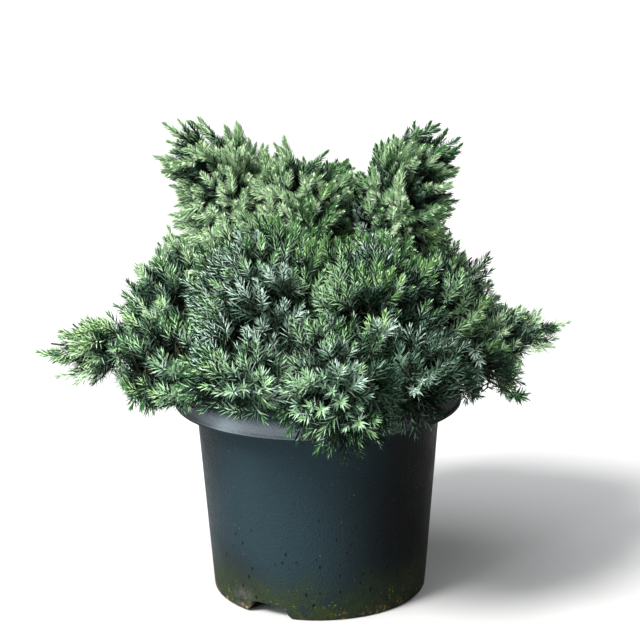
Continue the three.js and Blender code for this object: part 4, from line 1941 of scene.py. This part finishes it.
@dataclass
class Trunk:
    """The short trunk, from its lobed root flare up to the fork."""

    palette: Palette
    flare_radius: float = 14.5
    flare_height: float = 10
    lower_radius: float = 9.4
    fork_radius: float = 7.8
    lobes: int = 5
    lobe_depth: float = 0.14
    sides: int = 64
    rings: int = 40
    ridge: float = 0.9

    def _radius(self, share: float, angle: float) -> float:
        """The trunk's radius, with its flare, its lobes and its stringy bark.

        Args:
            share: How far up, from 0 to 1.
            angle: Where round it.

        Returns:
            The radius.
        """
        length = float(np.linalg.norm(TRUNK_FORK - TRUNK_FOOT))
        flare = max(0.0, 1 - share * length / (2 * self.flare_height))
        lobes = 1 + self.lobe_depth * flare * math.cos(self.lobes * angle)
        plain = self.lower_radius + (self.fork_radius - self.lower_radius) * share
        wide = (plain + (self.flare_radius - plain) * flare**2) * lobes
        strings = noise.noise(Vector((3.2 * math.cos(angle), 3.2 * math.sin(angle), share * 1.6)))
        flakes = noise.noise(Vector((9 * math.cos(angle), 9 * math.sin(angle), share * 7)))
        return wide - self.ridge * (0.5 + 0.5 * abs(strings)) + 0.35 * flakes

    def build(self) -> Object:
        """Builds and dresses the trunk.

        Returns:
            The piece.
        """
        axis = TRUNK_FORK - TRUNK_FOOT
        points = []
        for ring in range(self.rings + 1):
            share = ring / self.rings
            for side in range(self.sides):
                angle = 2 * math.pi * side / self.sides
                radius = self._radius(share, angle)
                outward = np.array([math.cos(angle), math.sin(angle), 0])
                points.append(TRUNK_FOOT + axis * share + radius * outward)
        faces = tube_faces(self.rings, self.sides, capped=True)
        piece = new_object("trunk_bark", mesh_from("trunk_bark", np.array(points), (), faces))
        piece.data.materials.append(self.palette.bark)
        piece.data.shade_smooth()
        return settle(piece, Slot.BARK, ["trunk"])


# ---- Pot and compost ----


def rounded(corners: Sequence[tuple[float, float, float]], steps: int = 6) -> Array:
    """Rounds the corners of a profile.

    Args:
        corners: Each corner's radius from the axis, its height and its rounding.
        steps: How many edges a rounding has.

    Returns:
        The points of the profile.
    """
    points = []
    for i, (r, z, fillet) in enumerate(corners):
        here = np.array([r, z])
        if fillet <= 0 or i in (0, len(corners) - 1):
            points.append(here)
            continue
        before, after = (np.array(corners[j][:2]) - here for j in (i - 1, i + 1))
        cut = min(fillet, 0.48 * np.linalg.norm(before), 0.48 * np.linalg.norm(after))
        start, end = here + unit(before) * cut, here + unit(after) * cut
        for share in np.linspace(0, 1, steps + 1):
            points.append((1 - share) ** 2 * start + 2 * share * (1 - share) * here + share**2 * end)
    return np.array(points)


def turned(name: str, profile: Array, segments: int) -> Mesh:
    """Turns a profile that starts and ends on the axis into a closed solid.

    Args:
        name: The mesh's name.
        profile: The radius and the height of each point.
        segments: How many sides it has.

    Returns:
        The mesh.
    """
    inner = profile[1:-1]
    angles = np.arange(segments) * 2 * math.pi / segments
    level = np.stack([np.cos(angles), np.sin(angles)])
    rings = [np.stack([*(r * level), np.full(segments, z)], axis=1) for r, z in inner]
    points = np.concatenate([*rings, [[0, 0, profile[0][1]], [0, 0, profile[-1][1]]]])
    spans = len(inner) - 1
    faces = tube_faces(spans, segments)
    first, last, top = len(points) - 2, len(points) - 1, spans * segments
    for side in range(segments):
        after = (side + 1) % segments
        faces += [(first, after, side), (last, top + side, top + after)]
    return mesh_from(name, points, (), faces)


@dataclass
class NurseryPot:
    """The pot: a tapered body under a wide collar, with three notches at its foot and holes in its floor."""

    palette: Palette
    shape: PotShape = POT
    segments: int = 240
    notch_count: int = 3
    notch_first: float = -118.5
    notch_width: float = 36
    notch_crown: float = 27
    notch_height: float = 11
    notch_depth: float = 24
    notch_flare: float = 8.5
    drain_count: int = 6
    drain_radius: float = 5
    drain_circle: float = 52
    drain_sides: int = 24
    drain_cut: float = 8
    sharpest: float = 38

    def _profile(self) -> Array:
        """The wall's section, from the middle of the underside round to the middle of the floor.

        Returns:
            The radius and the height of each point.
        """
        p = self.shape
        ring = p.foot_radius - p.foot_ring
        floor = p.floor_rise + p.floor_thickness
        edge = p.shoulder_height + p.collar_edge + 1.6
        inside = float(p.radius(np.array(floor + 4.0))) - p.wall
        corners = [
            (0, 0, 0),
            (p.pad_radius - 1.5, 0, 0.8),
            (p.pad_radius, p.floor_rise, 0.8),
            (ring - 1.5, p.floor_rise, 0.8),
            (ring, 0, 1.0),
            (p.foot_radius - 0.2, 0, 3.4),
            (p.shoulder_radius, p.shoulder_height, 0.6),
            (p.collar_radius, p.shoulder_height, 0.9),
            (p.collar_radius + 0.3, p.shoulder_height + 2.2, 0.9),
            (p.collar_radius - 1.6, p.shoulder_height + 3.6, 1.6),
            (p.collar_radius - 4.4, p.shoulder_height + 12, 9),
            (p.mouth_radius - 0.2, p.height - 1.6, 3.0),
            (p.mouth_radius - 0.6, p.height, 0.8),
            (p.mouth_radius - p.wall, p.height, 0.7),
            (p.collar_radius - p.wall - 1.4, p.shoulder_height + 6, 3.0),
            (p.shoulder_radius - p.wall, p.shoulder_height - 1, 1.2),
            (inside - 0.2, floor, 4.0),
            (0, floor, 0),
        ]
        return rounded(corners)

    def _notch(self, angle: float) -> Object:
        """A cutter in the form of a soft arch that runs in from the wall.

        Args:
            angle: Where round the pot, in degrees.

        Returns:
            The cutter.
        """
        half, crown, height = self.notch_width / 2, self.notch_crown / 2, self.notch_height
        knee = (half - 2.0, 6.0, 0)
        foot = [(half + self.notch_flare, -1, 0), (half + 1.5, -0.6, 0), knee]
        arch = [knee, (crown + 0.8, height - 0.4, 0), (crown - 2.5, height, 0)]
        shares = np.linspace(0, 1, 9)
        outline = np.concatenate([bezier(foot, shares), bezier(arch, shares[1:])])
        outline = np.concatenate([outline, (outline * (-1, 1, 1))[::-1]])
        wall, depth = self.shape.foot_radius, self.notch_depth
        near, far = wall - 0.6 * depth, wall + 0.4 * depth
        points = [(away, x, z) for away in (near, far) for x, z, _ in outline]
        mesh = mesh_from("notch", np.array(points), (), tube_faces(1, len(outline), capped=True))
        mesh.transform(Matrix.Rotation(math.radians(angle), 4, "Z"))
        return facing_out("notch", mesh)

    def _hole(self, angle: float) -> Object:
        """A cutter for a drain hole in the floor.

        Args:
            angle: Where round the floor, in degrees.

        Returns:
            The cutter.
        """
        builder = bmesh.new()
        radius, depth = self.drain_radius * MM, self.drain_cut * MM
        form = {"segments": self.drain_sides, "radius1": radius, "radius2": radius, "depth": depth}
        bmesh.ops.create_cone(builder, cap_ends=True, **form)
        mesh = bpy.data.meshes.new("drain")
        builder.to_mesh(mesh)
        builder.free()
        middle = (self.shape.floor_rise + self.shape.floor_thickness / 2) * MM
        mesh.transform(Matrix.Translation((self.drain_circle * MM, 0, middle)))
        mesh.transform(Matrix.Rotation(math.radians(angle), 4, "Z"))
        return facing_out("drain", mesh)

    def build(self) -> Object:
        """Builds and dresses the pot.

        Returns:
            The piece.
        """
        shell = new_object("pot_shell", turned("pot_shell", self._profile(), self.segments))
        notches, holes = range(self.notch_count), range(self.drain_count)
        cutters = [self._notch(self.notch_first + 360 * i / self.notch_count) for i in notches]
        cutters += [self._hole(360 * i / self.drain_count) for i in holes]
        for cutter in cutters:
            cut = shell.modifiers.new("cut", "BOOLEAN")
            cut.operation, cut.object, cut.solver = "DIFFERENCE", cutter, "EXACT"
        depsgraph = bpy.context.evaluated_depsgraph_get()
        mesh = bpy.data.meshes.new_from_object(shell.evaluated_get(depsgraph), depsgraph=depsgraph)
        for spent in [shell, *cutters]:
            bpy.data.objects.remove(spent)
        mesh.materials.clear()
        mesh.materials.append(self.palette.pot)
        mesh.shade_smooth()
        mesh.set_sharp_from_angle(angle=math.radians(self.sharpest))
        return settle(new_object("nursery_pot", mesh), Slot.POT, ["pot"])


@dataclass
class Compost:
    """The compost that fills the pot, crumbly on top."""

    palette: Palette
    shape: PotShape = POT
    top: float = 170
    edge_drop: float = 4
    segments: int = 128
    crumb_count: int = 900
    crumb_lowest: float = 163
    bare_round_trunk: float = 16

    def _fill(self) -> Mesh:
        """The body of compost, its top rough.

        Returns:
            The mesh.
        """
        p = self.shape
        inset = p.wall + 1
        bottom = p.floor_rise + p.floor_thickness + 0.3
        corners = [
            (0, bottom, 0),
            (float(p.radius(np.array(bottom))) - inset - 4.5, bottom, 1.0),
            (float(p.radius(np.array(bottom + 4.5))) - inset, bottom + 5.5, 1.0),
            (p.shoulder_radius - inset, p.shoulder_height + 0.5, 1.0),
            (p.collar_radius - inset - self.edge_drop, p.shoulder_height + 7.5, 1.0),
            (p.collar_radius - inset - self.edge_drop, self.top - self.edge_drop, 1.5),
        ]
        profile = list(rounded(corners, 3))
        for share in np.linspace(0, 1, 42)[1:]:
            radius = (p.collar_radius - inset - self.edge_drop) * (1 - share)
            profile.append(np.array([radius, self.top - self.edge_drop * (1 - share) ** 2]))
        mesh = turned("compost_fill", np.array(profile), self.segments)
        for vertex in mesh.vertices:
            x, y, z = vertex.co
            if z > (self.top - self.edge_drop - 0.5) * MM:
                away = math.hypot(x - TRUNK_FOOT[0] * MM, y - TRUNK_FOOT[1] * MM)
                keep = min(1.0, max(0.0, (away - self.bare_round_trunk * MM) / 0.02))
                lumps, grains = noise.noise(Vector((x, y, 0)) * 120), noise.noise(Vector((x, y, 0.1)) * 420)
                vertex.co.z += (lumps * 0.0016 + grains * 0.0009) * keep
        return mesh

    def _crumb(self) -> Object:
        """One crumb, a unit across: a knobbly lump.

        Returns:
            The crumb.
        """
        builder = bmesh.new()
        bmesh.ops.create_icosphere(builder, subdivisions=1, radius=0.5)
        for vertex in builder.verts:
            vertex.co *= 0.8 + 0.5 * noise.noise(vertex.co * 5)
        mesh = bpy.data.meshes.new("crumb")
        builder.to_mesh(mesh)
        builder.free()
        return new_object("crumb", mesh)

    def _crumb_tree(self) -> NodeTree:
        """Builds the tree that scatters crumbs over the top.

        Returns:
            The tree.
        """
        ports = [
            GEOMETRY_PORT,
            Port("Crumb", "NodeSocketObject"),
            Port("Density", value=20000.0),
            Port("Lowest", value=0.16),
            Port("Size", value=0.003),
            Port("Seed", "NodeSocketInt", 3),
        ]
        w, source, sink = new_tree("crumbs", "GeometryNodeTree", ports, [GEOMETRY_PORT])
        inputs = source.outputs
        facing = w.part(w.out("GeometryNodeInputNormal"), "Z")
        height = w.part(w.out("GeometryNodeInputPosition"), "Z")
        upward, high = w.math("GREATER_THAN", facing, 0.6), w.math("GREATER_THAN", height, inputs["Lowest"])
        scattering = {
            "Mesh": inputs["Geometry"],
            "Selection": w.times(upward, high),
            "Density": inputs["Density"],
            "Seed": inputs["Seed"],
        }
        placing = {
            "Points": w.out("GeometryNodeDistributePointsOnFaces", scattering),
            "Instance": w.add("GeometryNodeObjectInfo", {"Object": inputs["Crumb"]}).outputs["Geometry"],
            "Rotation": self._any_turn(w, inputs["Seed"]),
            "Scale": w.times(inputs["Size"], chance(w, 0.35, 1.0, inputs["Seed"], 1)),
        }
        placed = w.out("GeometryNodeInstanceOnPoints", placing)
        made = w.out("GeometryNodeRealizeInstances", {0: placed})
        dressed = w.add("GeometryNodeSetMaterial", {"Geometry": made, "Material": self.palette.compost})
        w.tree.links.new(dressed.outputs[0], sink.inputs[0])
        return w.tree

    @staticmethod
    def _any_turn(w: Wiring, seed: Socket) -> Socket:
        """Turns each crumb its own way."""
        angles = {i: chance(w, 0.0, 6.28, seed, 2 + i) for i in range(3)}
        return w.out("ShaderNodeCombineXYZ", angles)

    def build(self) -> list[Object]:
        """Builds and dresses the compost and its crumbs.

        Returns:
            The pieces.
        """
        mesh = self._fill()
        fill = new_object("compost_fill", mesh)
        mesh.materials.append(self.palette.compost)
        mesh.shade_smooth()
        crumb = self._crumb()
        copy = new_object("compost_top", mesh.copy())
        area = math.pi * (self.shape.collar_radius - 8) ** 2 * MM**2
        values = {"Crumb": crumb, "Density": self.crumb_count / area, "Lowest": self.crumb_lowest * MM}
        crumbs = grown(copy, self._crumb_tree(), values, "compost_crumbs")
        bpy.data.objects.remove(crumb)
        return [settle(fill, Slot.COMPOST, ["compost"]), settle(crumbs, Slot.COMPOST)]


# ---- Studio ----


@dataclass(frozen=True)
class Sun:
    """Even soft light from one direction.

    Args:
        name: Its name.
        toward: The direction of its source.
        strength: Its strength.
        spread: How many degrees its source is across.
        colour: Its colour.
    """

    name: str
    toward: Point
    strength: float
    spread: float
    colour: Colour = (0.97, 0.985, 1.0)


@dataclass
class Studio:
    """The pale floor, the soft light and the camera, in metres and degrees."""

    palette: Palette
    suns: tuple[Sun, ...] = (
        Sun("key_light", (-0.74, -0.60, 1.0), 5.4, 18.0, (1.0, 0.985, 0.96)),
        Sun("top_light", (-0.40, -0.30, 1.2), 2.4, 70.0),
        Sun("back_light", (0.75, 0.55, 0.80), 0.9, 60.0),
        Sun("left_light", (-0.95, -0.30, 0.25), 1.9, 50.0),
    )
    spot_place: Point = (-1.25, -1.35, 0.30)
    spot_target: Point = (0.0, 0.0, 0.075)
    spot_power: float = 150.0
    spot_cone: float = 9.0
    spot_size: float = 0.16
    spot_colour: Colour = (0.86, 0.96, 1.0)
    world_light: float = 0.08
    world_seen: float = 1.0
    floor_half: float = 20.0
    camera_place: Point = (0.0, -1.41819, 0.5786)
    pitch: float = 14.16
    yaw: float = 0.09
    roll: float = -0.59
    lens: float = 103.247

    def build(self) -> None:
        """Builds the studio."""
        self._floor()
        for sun in self.suns:
            data = bpy.data.lights.new(sun.name, "SUN")
            data.energy, data.angle, data.color = sun.strength, math.radians(sun.spread), sun.colour
            self._hang(data, (0, 0, 0), -Vector(sun.toward))
        data = bpy.data.lights.new("pot_light", "SPOT")
        data.energy, data.spot_size, data.spot_blend = self.spot_power, math.radians(self.spot_cone), 0.7
        data.shadow_soft_size, data.color = self.spot_size, self.spot_colour
        self._hang(data, self.spot_place, Vector(self.spot_target) - Vector(self.spot_place))
        self._world()
        view = bpy.context.scene.view_settings
        view.view_transform = "Standard"
        view.look = "None"
        self._camera()

    @staticmethod
    def _hang(data: Light, place: Point, ahead: Vector) -> None:
        """Hangs a light at a place, turned to shine ahead.

        Args:
            data: The light.
            place: Where it hangs.
            ahead: Which way it shines.
        """
        light = new_object(data.name, data)
        light.location = place
        light.rotation_mode = "QUATERNION"
        light.rotation_quaternion = ahead.to_track_quat("-Z", "Y")

    def _world(self) -> None:
        """Sets a white background that lights the plant only faintly."""
        world = bpy.data.worlds.new("studio")
        bpy.context.scene.world = world
        world.use_nodes = True
        w = Wiring(world.node_tree)
        background = world.node_tree.nodes["Background"]
        background.inputs["Color"].default_value = (1, 1, 1, 1)
        seen = w.add("ShaderNodeLightPath").outputs["Is Camera Ray"]
        strength = w.spread(seen, 0.0, 1.0, self.world_light, self.world_seen)
        w.tree.links.new(strength, background.inputs["Strength"])

    def _floor(self) -> None:
        """Lays the floor."""
        half = self.floor_half / MM
        corners = np.array([(-half, -half, 0), (half, -half, 0), (half, half, 0), (-half, half, 0)], float)
        floor = new_object("floor", mesh_from("floor", corners, (), [(0, 1, 2, 3)]))
        floor.data.materials.append(self.palette.floor)
        floor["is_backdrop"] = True

    def _camera(self) -> None:
        """Sets up the camera."""
        pitch, yaw, roll = (math.radians(a) for a in (self.pitch, self.yaw, self.roll))
        ahead = Vector((math.sin(yaw) * math.cos(pitch), math.cos(yaw) * math.cos(pitch), -math.sin(pitch)))
        right = Vector((math.cos(yaw), -math.sin(yaw), 0))
        up = right.cross(ahead)
        side = right * math.cos(roll) + up * math.sin(roll)
        rise = up * math.cos(roll) - right * math.sin(roll)
        data = bpy.data.cameras.new("camera")
        data.lens, data.sensor_width = self.lens, 36
        data.clip_start, data.clip_end = 0.05, 50
        camera = new_object("camera", data)
        turn = Matrix((side, rise, -ahead)).transposed()
        camera.matrix_world = Matrix.Translation(self.camera_place) @ turn.to_4x4()
        bpy.context.scene.camera = camera


def corners(box: Any) -> list[list[float]]:
    """A box's two corners as plain lists."""
    return [list(corner) for corner in box]


def main() -> None:
    """Builds the plant, its pot and the studio, and works out the sizes of the part and of the looks."""
    logging.basicConfig(level=logging.INFO, format="%(name)s: %(message)s")
    part_box = corners(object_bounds())
    palette = Palette()
    Studio(palette).build()
    NurseryPot(palette).build()
    Compost(palette).build()
    Trunk(palette).build()
    Crown(palette).build()
    {"part": part_box, "looks": corners(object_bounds())}


if __name__ == "__main__":
    main()
